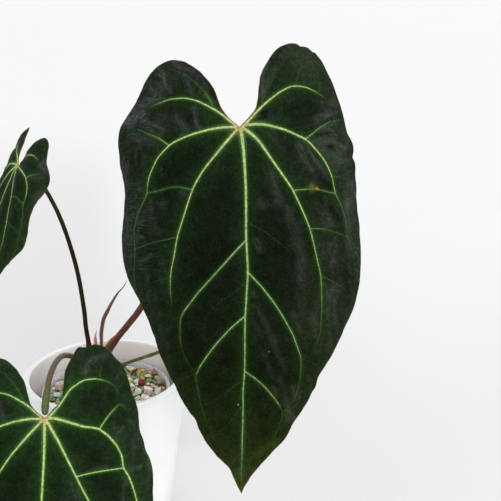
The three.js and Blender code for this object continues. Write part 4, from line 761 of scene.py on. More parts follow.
def leaf_colour(P, F, tone, seed, size=1.0):
    """Colour of the upper side away from the veins."""
    md = F["md"]
    big = noise(P / 34.0, seed + 20)
    small = fbm(P / 6.0, 2, seed + 21)
    fine = noise(P / 1.9, seed + 22)
    col = np.tile(tone["dark"], (len(P), 1))
    col = mixc(col, tone["mid"], 0.30 + 0.30 * big + 0.30 * small)
    # paler toward the edge, partly the leaf's own tone and partly painted sheen where it curves away; greener beside
    # the veins
    col = mixc(col, tone["rim"], tone.get("outer", 0.75) * np.exp(-md / tone.get("reach", 11.0)) * (1 + 0.35 * small) + 0.08 * small)
    col = mixc(col, tone["halo"], 0.85 * F["halo"] * (0.8 + 0.3 * small))
    grain = np.clip(0.85 + 0.3 * fine, 0.5, 1.2)
    m = F["masks"]
    # grey streaks mix in a grey tone under their painted sheen
    col = mixc(col, tone["grey"], m["g"] * 0.35 * grain)
    col = mixc(col, tone["light"], m["l"] * 0.8)
    col = mixc(col, tone["deepgreen"], m["G"] * 0.8)
    # dark streaks: painted shade in the creases
    col = mixc(col, tone["black"], m["d"] * 0.9)
    col = mixc(col, tone["brown"], m["b"])
    col = mixc(col, tone["yellow"], m["y"] * 0.9)
    # soft painted sheen mottling where the blade curves away
    side = step(30, 80, np.abs(P[:, 0]) * tone.get("side", 1.0)) * step(-70, 40, P[:, 1] + 60)
    streak = np.clip(noise(np.column_stack([P[:, 0] / 3.2, P[:, 1] / 11.0]), seed + 30) + 0.4 * noise(P / 2.2, seed + 31), 0, 1)
    F["sheen_mottle"] = tone.get("sheen_mottle", 0.3) * side * streak * step(1.5, 5, F["dq"])
    for u0, v0, radius, rgb, strength in tone.get("spots", ()):
        r = np.hypot(P[:, 0] - u0, P[:, 1] - v0) / radius
        col = mixc(col, lin(*rgb), strength * np.exp(-r ** 2 * (1 + 0.5 * noise(P / 1.5, seed + 33))))
    d0 = np.linalg.norm(P - P[0], axis=1)
    col = mixc(col, tone["bronze"], 0.85 * np.exp(-(d0 / 5.5) ** 2))
    tip_d = P[:, 1].max() - P[:, 1]
    col = mixc(col, tone["tip"], 0.55 * np.exp(-tip_d / 22.0))
    # warmer and thinner toward the tip
    warm = step(90, 215, P[:, 1] / size)[:, None]
    return col * (1 - warm * np.array([0.02, 0.0, 0.46]))


def under_colour(P, F, tone, seed):
    col = np.tile(tone["under"], (len(P), 1))
    col = mixc(col, tone["under2"], 0.5 + 0.35 * noise(P / 18.0, seed + 40) + 0.25 * fbm(P / 4.0, 2, seed + 41))
    col = mixc(col, tone["under_rim"], 0.6 * np.exp(-F["md"] / 2.5))
    return mixc(col, tone["under_vein"], 0.35 * F["halo"])


def leaf_upper(name, vein_hi, vein_lo, core, margin, flank, satin, rough=0.50, spec=0.02, sheen=0.0, sheen_tint=(0.55, 0.52, 0.6), marks=(), dim=0.98):
    M = Mat(name, Roughness=rough, Specular_IOR_Level=spec, Sheen_Weight=sheen, Sheen_Roughness=0.45, Sheen_Tint=sheen_tint)
    base = M.attr("leafcol", "Color")
    P = M.coords()
    e, s, edge, tan = M.attr("vein_e"), M.attr("vein_s"), M.attr("edge_mm"), M.attr("core")
    # velvet grain, then a fine net of cells between the veins
    grain = M.noise(1500, 4, 0.65)
    patch = M.noise(260, 3, 0.55)
    col = M.mix(base, (0.0, 0.0, 0.0), M.ramp(grain, 0.38, 0.68, (0.30, 0.0)))
    col = M.mix(col, M.mix(col, (1.45, 1.4, 1.5), 1.0, "MULTIPLY"), M.ramp(patch, 0.35, 0.7))
    warp = M.node("ShaderNodeVectorMath", p_operation="ADD")
    M.t.links.new(P, warp.inputs[0])
    wob = M.node("ShaderNodeTexNoise", Scale=180.0, Detail=2.0)
    M.t.links.new(P, wob.inputs["Vector"])
    small = M.node("ShaderNodeVectorMath", p_operation="SCALE", Scale=0.0018)
    M.t.links.new(wob.outputs["Color"], small.inputs[0])
    M.t.links.new(small.outputs[0], warp.inputs[1])
    net = M.voronoi(330, "DISTANCE_TO_EDGE", vector=warp.outputs[0])
    net_line = M.ramp(net, 0.0, 0.13, (1.0, 0.0))
    net_fine = M.ramp(M.voronoi(900, "DISTANCE_TO_EDGE", vector=warp.outputs[0]), 0.0, 0.2, (1.0, 0.0))
    lines = M.math("MULTIPLY", net_line, M.ramp(M.noise(90, 2), 0.35, 0.62, (0.1, 0.42)))
    col = M.mix(col, M.mix(col, (0.006, 0.012, 0.003), 1.0, "ADD"), lines)
    # painted sheen patches, made of fine fibres
    fv = M.node("ShaderNodeCombineXYZ", i0=M.attr("fib_a"), i1=M.attr("fib_l"))
    fibre = M.noise(1.0, 3, 0.6, vector=M.stretch((1.15, 0.16, 1.0), fv.outputs[0]))
    fibre2 = M.noise(1.0, 2, 0.6, vector=M.stretch((3.2, 0.35, 1.0), fv.outputs[0]))
    strand = M.math("MULTIPLY_ADD", M.ramp(fibre, 0.38, 0.62), 0.58, M.math("MULTIPLY_ADD", M.ramp(fibre2, 0.40, 0.60), 0.34, 0.14))
    sheen_mask = M.math("MULTIPLY", M.attr("satin"), strand)
    satin = M.mix(satin, tuple(lin(79, 80, 77)), M.ramp(M.attr("lu"), -25.0, 25.0))
    col = M.mix(col, satin, M.math("MINIMUM", M.math("MULTIPLY", sheen_mask, 0.95), 0.92))
    # fine combed lines of painted sheen across the outer fields
    cw = M.math("MULTIPLY_ADD", M.noise(45, 2), 5.0, M.attr("lv"))
    cv = M.node("ShaderNodeCombineXYZ", i0=M.math("MULTIPLY", M.attr("lu"), 0.10), i1=M.math("MULTIPLY", cw, 0.95))
    sheen_comb = M.math("MULTIPLY", M.attr("sheen_comb"), M.ramp(M.noise(1.0, 3, 0.65, vector=cv.outputs[0]), 0.44, 0.70, (0.0, 0.95)))
    sheen_comb = M.math("MULTIPLY", sheen_comb, M.ramp(M.noise(110, 2), 0.36, 0.60, (0.35, 1.0)))
    cool = M.mix(satin, tuple(lin(70, 84, 82)), M.ramp(M.noise(150, 2), 0.42, 0.58))
    col = M.mix(col, cool, M.math("MULTIPLY", sheen_comb, M.ramp(e, 0.4, 2.0)))
    # painted shade in the dark creases
    fold_shade = M.math("MULTIPLY", M.attr("fold_shade"), M.ramp(M.noise(520, 3, 0.6), 0.34, 0.56, (0.35, 1.0)))
    col = M.mix(col, (0.0032, 0.0026, 0.0020), M.math("MINIMUM", fold_shade, 0.9))
    # veins: a green flank, then the vein itself with a slightly ragged edge; both fade with its strength
    hatch = M.math("MULTIPLY", M.math("SUBTRACT", M.noise(1300, 3, 0.65), 0.5), 1.7)
    sin_d = M.attr("sin_d")
    near_sinus = M.ramp(sin_d, 4.0, 40.0, (1.0, 0.0))
    reach = M.math("MULTIPLY", e, M.ramp(near_sinus, 0.0, 1.0, (1.0, 0.62), smooth=False))
    flank_m = M.ramp(M.math("ADD", reach, hatch), -0.1, 1.9, (0.85, 0.0))
    flank_c = M.mix(flank, M.mix(flank, (1.85, 1.5, 2.2), 1.0, "MULTIPLY"), near_sinus)
    flank_c = M.mix(flank_c, tuple(lin(100, 94, 46)), M.ramp(sin_d, 4.0, 12.0, (0.35, 0.0)))
    col = M.mix(col, flank_c, M.math("MULTIPLY", flank_m, M.ramp(s, 0.1, 0.95)))
    ragged = M.math("MULTIPLY_ADD", M.math("SUBTRACT", M.noise(1100, 3, 0.6), 0.5), 0.55, e)
    mask = M.ramp(M.math("MULTIPLY_ADD", near_sinus, -0.14, ragged), -0.20, 0.22, (1.0, 0.0))
    fade = M.math("MULTIPLY", M.ramp(s, 0.0, 0.72, smooth=False), M.ramp(M.noise(420, 2, 0.5), 0.25, 0.62, (0.72, 1.0)))
    vein = M.mix(vein_lo, vein_hi, M.ramp(s, 0.35, 0.95))
    vein = M.mix(vein, M.mix(vein, (0.62, 0.72, 0.5), 1.0, "MULTIPLY"), M.ramp(M.noise(700, 3), 0.4, 0.7, (0.0, 0.8)))
    vein = M.mix(vein, core, M.math("MULTIPLY", tan, M.ramp(M.noise(240, 2), 0.35, 0.6, (0.30, 0.75))))
    # veins under the combed lines take the painted sheen's grey
    vein = M.mix(vein, tuple(lin(92, 110, 100)), M.math("MINIMUM", M.math("MULTIPLY", M.attr("sheen_comb"), M.ramp(s, 0.45, 0.75, (1.7, 0.0))), 0.95))
    col = M.mix(col, vein, M.math("MULTIPLY", mask, fade))
    # bronze where the veins meet
    meet = M.math("MULTIPLY", M.ramp(M.math("MULTIPLY_ADD", M.noise(650, 3), 3.2, sin_d), 2.6, 6.2, (1.0, 0.0)), 0.8)
    col = M.mix(col, M.mix(tuple(lin(150, 106, 50)), tuple(lin(196, 160, 118)), M.ramp(M.noise(900, 2), 0.4, 0.6)), meet)
    # small blemishes of a few tenths of a millimetre
    for u, v, r, rgb, k in marks:
        du, dv = M.math("SUBTRACT", M.attr("lu"), u), M.math("SUBTRACT", M.attr("lv"), v)
        d2 = M.math("MULTIPLY_ADD", du, du, M.math("MULTIPLY", dv, dv))
        d2 = M.math("MULTIPLY_ADD", M.math("SUBTRACT", M.noise(1200, 3), 0.5), r * r * 1.6, d2)
        col = M.mix(col, tuple(lin(*rgb)), M.ramp(d2, r * r * 0.3, r * r * 1.5, (k, 0.0)))
    # thin reddish line along the edge, stronger at the tip and in the sinus
    near = M.math("MAXIMUM", M.ramp(M.attr("tip_d"), 6.0, 26.0, (1.0, 0.0)), M.ramp(M.attr("sin_d"), 14.0, 34.0, (1.0, 0.0)))
    amount = M.math("MULTIPLY_ADD", near, 0.55, M.ramp(M.noise(60, 2), 0.35, 0.65, (0.14, 0.42)))
    col = M.mix(col, margin, M.math("MULTIPLY", M.ramp(edge, 0.15, 0.75, (1.0, 0.0)), amount))
    cloth = M.noise(560, 3, 0.6)
    lint = M.noise(1350, 2, 0.6)
    col = M.mix(col, M.mix(col, (dim * 0.72, dim * 0.72, dim * 0.72), 1.0, "MULTIPLY"), M.ramp(cloth, 0.40, 0.58, (1.0, 0.0)))
    col = M.mix(col, M.mix(col, (dim * 1.14, dim * 1.14, dim * 1.14), 1.0, "MULTIPLY"), M.ramp(lint, 0.44, 0.64))
    M.link("Base Color", col)
    rough_src = M.ramp(M.math("MULTIPLY", mask, s), 0.0, 1.0, (rough, rough - 0.16))
    M.link("Roughness", rough_src)
    height = M.math("MULTIPLY_ADD", grain, 0.5, M.math("MULTIPLY", M.math("SUBTRACT", 1.0, net_line), 0.5))
    height = M.math("MULTIPLY_ADD", net_fine, -0.18, height)
    height = M.math("MULTIPLY_ADD", M.math("MULTIPLY", M.attr("satin"), fibre), 1.2, height)
    M.link("Normal", M.bump(height, 0.35, 0.00035))
    return M.m


def leaf_under(name, vein, margin):
    M = Mat(name, Roughness=0.55, Specular_IOR_Level=0.3)
    base = M.attr("leafcol", "Color")
    e, s, edge = M.attr("vein_e"), M.attr("vein_s"), M.attr("edge_mm")
    grain = M.noise(1200, 4, 0.6)
    col = M.mix(base, M.mix(base, (0.72, 0.74, 0.68), 1.0, "MULTIPLY"), M.ramp(grain, 0.35, 0.7))
    net = M.voronoi(380, "DISTANCE_TO_EDGE")
    line = M.ramp(net, 0.0, 0.14, (1.0, 0.0))
    col = M.mix(col, M.mix(col, (1.25, 1.25, 1.15), 1.0, "MULTIPLY"), M.math("MULTIPLY", line, 0.7))
    ragged = M.math("MULTIPLY_ADD", M.math("SUBTRACT", M.noise(900, 3, 0.6), 0.5), 0.5, e)
    mask = M.math("MULTIPLY", M.ramp(ragged, -0.1, 0.4, (1.0, 0.0)), M.ramp(s, 0.0, 0.5, (0.15, 0.9)))
    col = M.mix(col, vein, mask)
    col = M.mix(col, margin, M.ramp(edge, 0.1, 0.8, (0.45, 0.0)))
    M.link("Base Color", col)
    M.link("Normal", M.bump(M.math("ADD", grain, line), 0.3, 0.0003))
    return M.m


def tones(gain, green, side=1.0, sheen_mottle=0.3):
    """Colours of one blade; gain scales all of them, green pulls them toward leaf green."""
    def c(r, g, b, k=1.0):
        a = lin(r, g, b)
        return (a * (1 - green) + a * np.array([0.95, 1.45, 0.8]) * green) * gain * k
    return dict(dark=c(6, 11, 5), mid=c(17, 28, 12), rim=c(32, 44, 27), halo=c(34, 58, 22), satin=c(98, 98, 102), grey=c(74, 84, 70),
                light=c(66, 96, 48), deepgreen=c(44, 74, 30), black=c(4, 6, 4), brown=c(46, 44, 28), yellow=c(50, 62, 24),
                bronze=c(112, 84, 40), tip=c(64, 74, 34), side=side, sheen_mottle=sheen_mottle,
                under=lin(78, 100, 58), under2=lin(62, 84, 46), under_rim=lin(110, 104, 66), under_vein=lin(124, 146, 88))


VEIN_HI = tuple(lin(158, 182, 118))
VEIN_LO = tuple(lin(80, 102, 60))
VEIN_CORE = tuple(lin(188, 166, 124))
MARGIN = tuple(lin(138, 80, 52))
FLANK = tuple(lin(40, 76, 28))
# grey of the painted sheen on the blades
PAINTED_SHEEN_GREY = tuple(lin(77, 77, 79))
MAIN_MARKS = [(57.0, 44.4, 1.3, (150, 130, 56), 0.5), (58.4, 45.0, 0.85, (188, 120, 40), 0.85), (58.7, 44.9, 0.5, (64, 20, 12), 1.0),
              (-1.6, 207.5, 0.40, (205, 205, 185), 0.9), (21.4, 165.0, 0.45, (150, 112, 84), 0.9)]
upper_main = leaf_upper("leaf_main_upper", VEIN_HI, VEIN_LO, VEIN_CORE, MARGIN, FLANK, PAINTED_SHEEN_GREY, marks=MAIN_MARKS)
under_main = leaf_under("leaf_main_under", tuple(lin(140, 160, 102)), MARGIN)
upper_front = leaf_upper("leaf_front_upper", tuple(lin(162, 188, 118)), tuple(lin(80, 108, 58)), VEIN_CORE, tuple(lin(92, 92, 50)), tuple(lin(42, 82, 30)), PAINTED_SHEEN_GREY)
under_front = leaf_under("leaf_front_under", tuple(lin(142, 164, 104)), MARGIN)
upper_left = leaf_upper("leaf_left_upper", VEIN_HI, VEIN_LO, VEIN_CORE, MARGIN, FLANK, PAINTED_SHEEN_GREY)
under_left = leaf_under("leaf_left_under", tuple(lin(138, 160, 102)), MARGIN)

MAIN_SPOTS = [(53.4, 43.4, 2.6, (108, 108, 60), 0.6), (16, 55, 4.8, (50, 50, 36), 0.42), (50, -46, 17, (58, 72, 48), 0.32),
              (66, 18, 24, (56, 66, 50), 0.24), (70, 74, 22, (50, 60, 42), 0.16), (58, 146, 24, (50, 60, 42), 0.24)]
blade_main = blade_piece("blade_main_leaf", MAIN, MAIN_OUTLINE, (0.7, 283.6), MAIN_VEINS, MAIN_STREAKS, 1.18, 101, "leaf_main",
                         [upper_main, under_main], dict(tones(0.93, 0.0), spots=MAIN_SPOTS, sheen_combs=[(-80, 78, 16, 34, 0.58), (-86, -8, 12, 9, 0.75), (-68, -2, 13, 6, 0.5), (79, 30, 11, 24, 0.42), (-60, 100, 10, 14, 0.3)]), curls=[(-14, -24, 16, 2.2), (12, -22, 12, 0.8)])
FRONT_TIP = FRONT_OUTLINE[int(np.argmax([p[1] for p in FRONT_OUTLINE]))]
blade_front = blade_piece("blade_front_leaf", FRONT, FRONT_OUTLINE, FRONT_TIP, FRONT_VEINS, FRONT_STREAKS, 1.12, 202, "leaf_front",
                          [upper_front, under_front], dict(tones(0.98, 0.3, sheen_mottle=0.45), outer=0.85, reach=18.0), curls=[(10, -20, 12, 0.8)], size=0.8)
LEFT_OUTLINE = [(-u * LEFT_SIZE, v * LEFT_SIZE) for u, v in MAIN_OUTLINE]
blade_left = blade_piece("blade_left_leaf", LEFT, LEFT_OUTLINE, (-0.7 * LEFT_SIZE, 283.6 * LEFT_SIZE), LEFT_VEINS, LEFT_STREAKS, 1.0, 303, "leaf_left",
                         [upper_left, under_left], tones(1.05, 0.1), curls=[(9, -14, 10, 1.0)], size=0.62, thick=0.55)


# ---------------------------------------------------------------- stalks
def frames(path):
    T = np.gradient(path, axis=0)
    T /= np.linalg.norm(T, axis=1)[:, None]
    A = np.zeros_like(T)
    a = np.array([0, -1.0, 0]) - T[0] * (T[0] @ np.array([0, -1.0, 0]))
    a /= np.linalg.norm(a)
    A[0] = a
    for i in range(1, len(T)):
        a = a - T[i] * (a @ T[i])
        a /= np.linalg.norm(a)
        A[i] = a
    return T, A, np.cross(T, A)


def sweep(points, radii, spacing=1.1, sides=26, shape=None, caps=(1.0, 1.0), per=20):
    """A closed tube along points. shape(t, angle, mm) scales the radius; angle 0 faces -Y."""
    path = resample(curve(points, per), spacing)
    length = np.linalg.norm(np.diff(path, axis=0), axis=1).sum()
    T, A, B = frames(path)
    n = len(path)
    t = np.linspace(0, 1, n)
    r = table(radii, t)
    ang = 2 * math.pi * np.arange(sides) / sides
    k = np.ones((n, sides)) if shape is None else shape(t[:, None], ang[None, :], t[:, None] * length)
    k = np.broadcast_to(k, (n, sides))
    rings = path[:, None, :] + (r[:, None] * k)[..., None] * (np.cos(ang)[None, :, None] * A[:, None, :] + np.sin(ang)[None, :, None] * B[:, None, :])
    verts, ts, angs = [rings.reshape(-1, 3)], [np.repeat(t, sides)], [np.tile(ang, n)]
    faces = []
    for i in range(n - 1):
        for j in range(sides):
            a, b = i * sides + j, i * sides + (j + 1) % sides
            faces.append((a, b, b + sides, a + sides))
    count = n * sides
    for end, flat in ((0, caps[0]), (1, caps[1])):
        base = 0 if end == 0 else (n - 1) * sides
        c = path[0] if end == 0 else path[-1]
        d = -T[0] if end == 0 else T[-1]
        rr = r[0] if end == 0 else r[-1]
        prev = list(range(base, base + sides))
        for q in (0.35, 0.7):
            ring = c + (rings[0 if end == 0 else -1] - c) * math.cos(q * math.pi / 2) + d * rr * flat * math.sin(q * math.pi / 2)
            verts.append(ring)
            ts.append(np.full(sides, float(end)))
            angs.append(ang)
            cur = list(range(count, count + sides))
            count += sides
            for j in range(sides):
                f = (prev[j], prev[(j + 1) % sides], cur[(j + 1) % sides], cur[j])
                faces.append(f if end else f[::-1])
            prev = cur
        verts.append((c + d * rr * flat)[None])
        ts.append(np.array([float(end)]))
        angs.append(np.array([0.0]))
        for j in range(sides):
            f = (prev[j], prev[(j + 1) % sides], count)
            faces.append(f if end else f[::-1])
        count += 1
    return np.vstack(verts), faces, np.concatenate(ts), np.concatenate(angs), length


def stalk_material(name, rough=0.45, spec=0.25, speck=(0.35, 0.3, 0.22), bump=0.35, coat=0.04):
    M = Mat(name, Roughness=rough, Specular_IOR_Level=spec, Coat_Weight=coat, Coat_Roughness=0.35)
    base = M.attr("stalkcol", "Color")
    streak = M.noise(900, 3, 0.55, vector=M.stretch((1.0, 1.0, 0.10)))
    fine = M.noise(1600, 3, 0.6)
    col = M.mix(base, M.mix(base, (0.58, 0.55, 0.52), 1.0, "MULTIPLY"), M.ramp(streak, 0.35, 0.68))
    col = M.mix(col, M.mix(col, (1.35, 1.28, 1.15), 1.0, "MULTIPLY"), M.ramp(fine, 0.5, 0.72))
    spots = M.ramp(M.voronoi(520, "F1"), 0.10, 0.20, (1.0, 0.0))
    col = M.mix(col, M.mix(col, speck, 1.0, "ADD"), M.math("MULTIPLY", spots, M.ramp(M.noise(120, 2), 0.5, 0.7, (0.0, 0.16))))
    M.link("Base Color", col)
    M.link("Normal", M.bump(M.math("MULTIPLY_ADD", streak, 0.7, M.math("MULTIPLY", fine, 0.4)), bump, 0.0003))
    return M.m


def stalk_piece(name, node, slot, material, points, radii, colour, **kw):
    V, Fc, t, ang, length = sweep(points, radii, **kw)
    ob = make_piece(name, V, Fc, [material], colours={"stalkcol": colour(t, ang, V, length)})
    place(ob, slot, node)
    return ob


def ridged(amount, count, seed, swell=()):
    def shape(t, a, mm):
        k = 1 + amount * np.cos(a * count + 0.8 * np.sin(mm / 37.0)) * (0.6 + 0.4 * np.sin(mm / 21.0 + seed))
        flat = np.column_stack([np.broadcast_to(mm, (mm.shape[0], a.shape[1])).ravel() / 6.0, np.broadcast_to(np.cos(a) * 1.3, (mm.shape[0], a.shape[1])).ravel(),
                                np.broadcast_to(np.sin(a) * 1.3, (mm.shape[0], a.shape[1])).ravel()])
        k = k + 0.05 * noise(flat, seed).reshape(mm.shape[0], a.shape[1]) + 0.02 * noise(flat * 4, seed + 1).reshape(mm.shape[0], a.shape[1])
        for centre, width, high in swell:
            k = k + high * np.exp(-((mm - centre) / width) ** 2)
        return k
    return shape


CX, CY, CZ = -10.6, 0.0, 143.0
brown_stalk = stalk_material("petiole_brown_skin")
dark_stalk = stalk_material("petiole_dark_skin", rough=0.55, spec=0.05, coat=0.0)


def petiole_main_colour(t, a, V, L):
    z = V[:, 2:3]
    col = np.tile(lin(96, 56, 42), (len(t), 1))
    col = mixc(col, lin(84, 46, 32), step(200, 236, V[:, 2]))
    col = mixc(col, lin(92, 84, 58), step(262, 330, V[:, 2]) * 0.8)
    col = mixc(col, lin(92, 104, 58), step(375, 388, V[:, 2]))
    left = step(0.80, 0.97, np.cos(a + 1.70))
    col = mixc(col, lin(206, 158, 62), left * step(150, 160, V[:, 2]) * step(190.5, 187.5, V[:, 2]))
    col = mixc(col, lin(112, 104, 84), step(0.4, 0.9, np.cos(a - 0.3)) * step(150, 156, V[:, 2]) * step(176, 164, V[:, 2]) * 0.7)
    return mixc(col, col * 0.7, 0.5 + 0.5 * noise(V / 7.0, 7))


sheath = [(CX + 3.5, CY - 2.5, CZ - 2), (.2, -3.6, 160), (5.8, -5, 172), (22.6, -14, 195.9), (39.1, -24, 219.9), (62, -38.5, 262), (86, -54.5, 318), (107, -74, 362), (120.2, -89.9, 383.4), (124.2, -94.6, 387.2)]


def sheath_shape(t, a, mm):
    k = ridged(0.035, 3, 11, [(L_MAIN - 9, 7, 0.10)])(t, a, mm)
    # the base clasps the stem with two thin wings that end in a small step
    wing = np.exp(-((np.mod(a + 1.55 + math.pi, 2 * math.pi) - math.pi) / 0.32) ** 2) + np.exp(-((np.mod(a - 2.2 + math.pi, 2 * math.pi) - math.pi) / 0.35) ** 2)
    return k + (0.24 + 0.12 * step(20, 46, mm)) * wing * step(2, 8, mm) * step(50.5, 48.6, mm)


L_MAIN = np.linalg.norm(np.diff(curve(sheath, 20), axis=0), axis=1).sum()
petiole_main = stalk_piece("petiole_main_stalk", "petiole_main", "petiole_brown", brown_stalk, sheath,
                           [(0, 4.3), (.05, 4.1), (.09, 3.8), (.14, 3.5), (.158, 2.9), (.35, 2.75), (.93, 2.4), (.955, 3.0), (.985, 3.1), (1, 2.6)],
                           petiole_main_colour, shape=sheath_shape, spacing=1.3)


def petiole_front_colour(t, a, V, L):
    col = np.tile(lin(96, 78, 48), (len(t), 1))
    col = mixc(col, lin(104, 62, 46), step(0.3, 0.05, t))
    col = mixc(col, lin(84, 96, 52), step(0.82, 0.95, t))
    return mixc(col, col * 0.7, 0.5 + 0.5 * noise(V / 7.0, 17))


petiole_front = stalk_piece("petiole_front_stalk", "petiole_front", "petiole_brown", brown_stalk,
                            [(CX - 4, CY - 5, CZ - 3), (-17, -14, 158), (-20.5, -40, 181), (-21, -80, 199), (-19.8, -120, 202), (-18.8, -140, 192.2), (-18.5, -145.2, 186.8)],
                            [(0, 4.1), (.08, 3.9), (.2, 2.35), (.88, 2.2), (.93, 2.9), (.98, 2.9), (1, 2.5)], petiole_front_colour, shape=ridged(0.035, 3, 23))


def petiole_left_colour(t, a, V, L):
    col = np.tile(lin(40, 28, 16), (len(t), 1))
    col = mixc(col, lin(72, 54, 36), step(0.2, 0.02, t))
    col = mixc(col, lin(70, 62, 40), step(0.6, 0.85, t) * 0.7)
    col = mixc(col, lin(84, 94, 54), step(0.88, 0.97, t))
    return mixc(col, col * 0.7, 0.5 + 0.5 * noise(V / 7.0, 27))


petiole_left = stalk_piece("petiole_left_stalk", "petiole_left", "petiole_dark", dark_stalk,
                           [(CX - 3.4, CY + 3.6, CZ - 2), (-15.1, 7.4, 157), (-15.6, 10, 168.8), (-18.5, 16, 183.5), (-20.4, 22, 198.9), (-27, 30, 240), (-41, 38, 286), (-58, 45.5, 316), (-68.9, 49.9, 326.8), (-74.0, 48.6, 327.8)],
                           [(0, 3.9), (.06, 3.7), (.16, 2.1), (.9, 1.9), (.94, 2.55), (.985, 2.6), (1, 2.2)], petiole_left_colour, shape=ridged(0.035, 3, 33))


def peduncle_colour(t, a, V, L):
    col = np.tile(lin(96, 94, 46), (len(t), 1))
    col = mixc(col, lin(120, 122, 66), step(0.0, 0.9, np.cos(a - 2.6)) * 0.6)
    col = mixc(col, lin(150, 140, 104), np.exp(-((V[:, 0] - 40) / 1.6) ** 2) * 0.8)
    return mixc(col, col * 0.72, 0.5 + 0.5 * noise(V / 6.0, 37))


peduncle = stalk_piece("peduncle_stalk", "peduncle", "peduncle_olive", stalk_material("peduncle_skin", rough=0.5),
                       [(CX + 5, CY - 3.5, CZ + 5.2), (4, -6.2, 151.6), (18.3, -10, 158.5), (34.6, -14, 166.3), (51.5, -18, 174.4), (76, -22, 190), (99, -23, 216), (112, -20, 250)],
                       [(0, 1.8), (.1, 1.5), (1, 1.45)], peduncle_colour, shape=ridged(0.04, 4, 43, [(57, 1.6, 0.16)]), sides=22)


def new_leaf_colour(t, a, V, L):
    col = np.tile(lin(112, 70, 54), (len(t), 1))
    col = mixc(col, lin(86, 58, 44), step(0.55, 0.9, t))
    col = mixc(col, lin(60, 34, 30), step(0.82, 0.95, t))
    col = mixc(col, lin(84, 70, 50), step(0.2, 0.9, np.cos(a + 0.1)) * 0.6 * step(0.75, 0.6, t))
    # orange bands down both flanks are painted highlights
    col = mixc(col, lin(206, 122, 84), step(0.45, 0.97, np.cos(a - 1.5)) * step(0.05, 0.15, t) * step(0.86, 0.72, t))
    col = mixc(col, lin(176, 104, 74), step(0.7, 0.99, np.cos(a + 1.5)) * 0.8 * step(0.05, 0.15, t) * step(0.86, 0.72, t))
    return mixc(col, col * 0.72, 0.5 + 0.5 * noise(V / 6.0, 47))


def furl(t, a, mm):
    # a rolled blade: one overlapping edge runs up it in a slow spiral
    k = ridged(0.02, 3, 51)(t, a, mm)
    turn = np.mod(a - 0.9 * t * 3.0 + 1.9, 2 * math.pi)
    lap = np.where(turn < 0.16, turn / 0.16, np.clip(1 - (turn - 0.16) / 1.6, 0, 1))
    return k + 0.22 * lap * step(0.3, 0.42, t) * step(1.0, 0.8, t) + 0.10 * (np.cos(a - 1.1) ** 2) * step(0.3, 0.5, t) * step(1, 0.75, t) - 0.03


new_leaf = stalk_piece("new_leaf_furled", "new_leaf", "new_leaf_red", stalk_material("new_leaf_skin", rough=0.36, spec=0.45),
                       [(CX + 2.6, CY + 4.4, CZ - 2), (-5, 4.4, 158), (-2.8, 4, 170.9), (-2.4, 5, 182), (-1.2, 5, 189.6), (.9, 4, 197.6), (5.1, 2, 206), (9.3, 0, 214.2), (13.6, -3, 221.6), (16.9, -5, 226.7), (21.1, -8, 231.7), (23.8, -10, 235.8), (25.8, -12, 240.2)],
                       [(0, 3.1), (.12, 2.6), (.22, 1.6), (.42, 1.8), (.60, 1.75), (.72, 1.15), (.82, .75), (.9, .45), (1, .2)], new_leaf_colour, shape=furl, sides=32, spacing=0.9)


def cataphyll_colour(t, a, V, L):
    col = np.tile(lin(206, 132, 104), (len(t), 1))
    col = mixc(col, lin(168, 122, 84), step(0.5, 0.0, t))
    # an orange-yellow band down one flank is a painted highlight
    col = mixc(col, lin(224, 158, 96), step(0.5, 0.75, t) * step(0.3, 0.9, np.cos(a + 1.6)))
    col = mixc(col, lin(186, 96, 66), step(0.3, 0.9, np.cos(a - 1.5)) * 0.6)
    col = mixc(col, lin(228, 150, 112), step(0.75, 0.95, t) * 0.7)
    col = mixc(col, lin(150, 96, 60), step(0.955, 1.0, t))
    return mixc(col, col * 0.82, 0.5 + 0.5 * noise(V / 5.0, 57))


def keel(t, a, mm):
    return ridged(0.03, 5, 61)(t, a, mm) + 0.12 * np.cos(2 * (a - 0.4)) + 0.14 * np.exp(-((np.mod(a - 2.0 + math.pi, 2 * math.pi) - math.pi) / 0.25) ** 2)


cataphyll = stalk_piece("cataphyll_sheath", "cataphyll", "cataphyll_pink", stalk_material("cataphyll_skin", rough=0.45),
                        [(CX - .6, CY - .4, CZ + .4), (-9.6, -1, 158), (-7.6, 0, 173.5), (-7.0, -.6, 182), (-5.2, -1, 188.1)],
                        [(0, 2.7), (.35, 2.7), (.62, 2.2), (.82, 1.25), (.93, .6), (1, .2)], cataphyll_colour, shape=keel, sides=30, spacing=0.8)


# stem and roots: one grown piece made of overlapping tubes, joined into one mesh
def bark_colour(t, a, V, L):
    col = np.tile(lin(112, 98, 70), (len(t), 1))
    col = mixc(col, lin(76, 84, 50), step(128, 140, V[:, 2]) * 0.7)
    col = mixc(col, lin(142, 120, 84), 0.5 + 0.5 * noise(V / 3.0, 67))
    return mixc(col, lin(74, 60, 44), step(0.1, 0.6, noise(V / 5.0, 68)))


def stem_shape(t, a, mm):
    flat = np.column_stack([np.broadcast_to(mm, (mm.shape[0], a.shape[1])).ravel() / 4.0, np.broadcast_to(np.cos(a) * 1.6, (mm.shape[0], a.shape[1])).ravel(),
                            np.broadcast_to(np.sin(a) * 1.6, (mm.shape[0], a.shape[1])).ravel()])
    k = 1 + 0.09 * noise(flat, 71).reshape(mm.shape[0], a.shape[1]) + 0.04 * noise(flat * 3.1, 72).reshape(mm.shape[0], a.shape[1])
    return k - 0.07 * np.exp(-((np.mod(mm + 1.5 * np.sin(a), 7.5) - 3.7) / 0.6) ** 2)


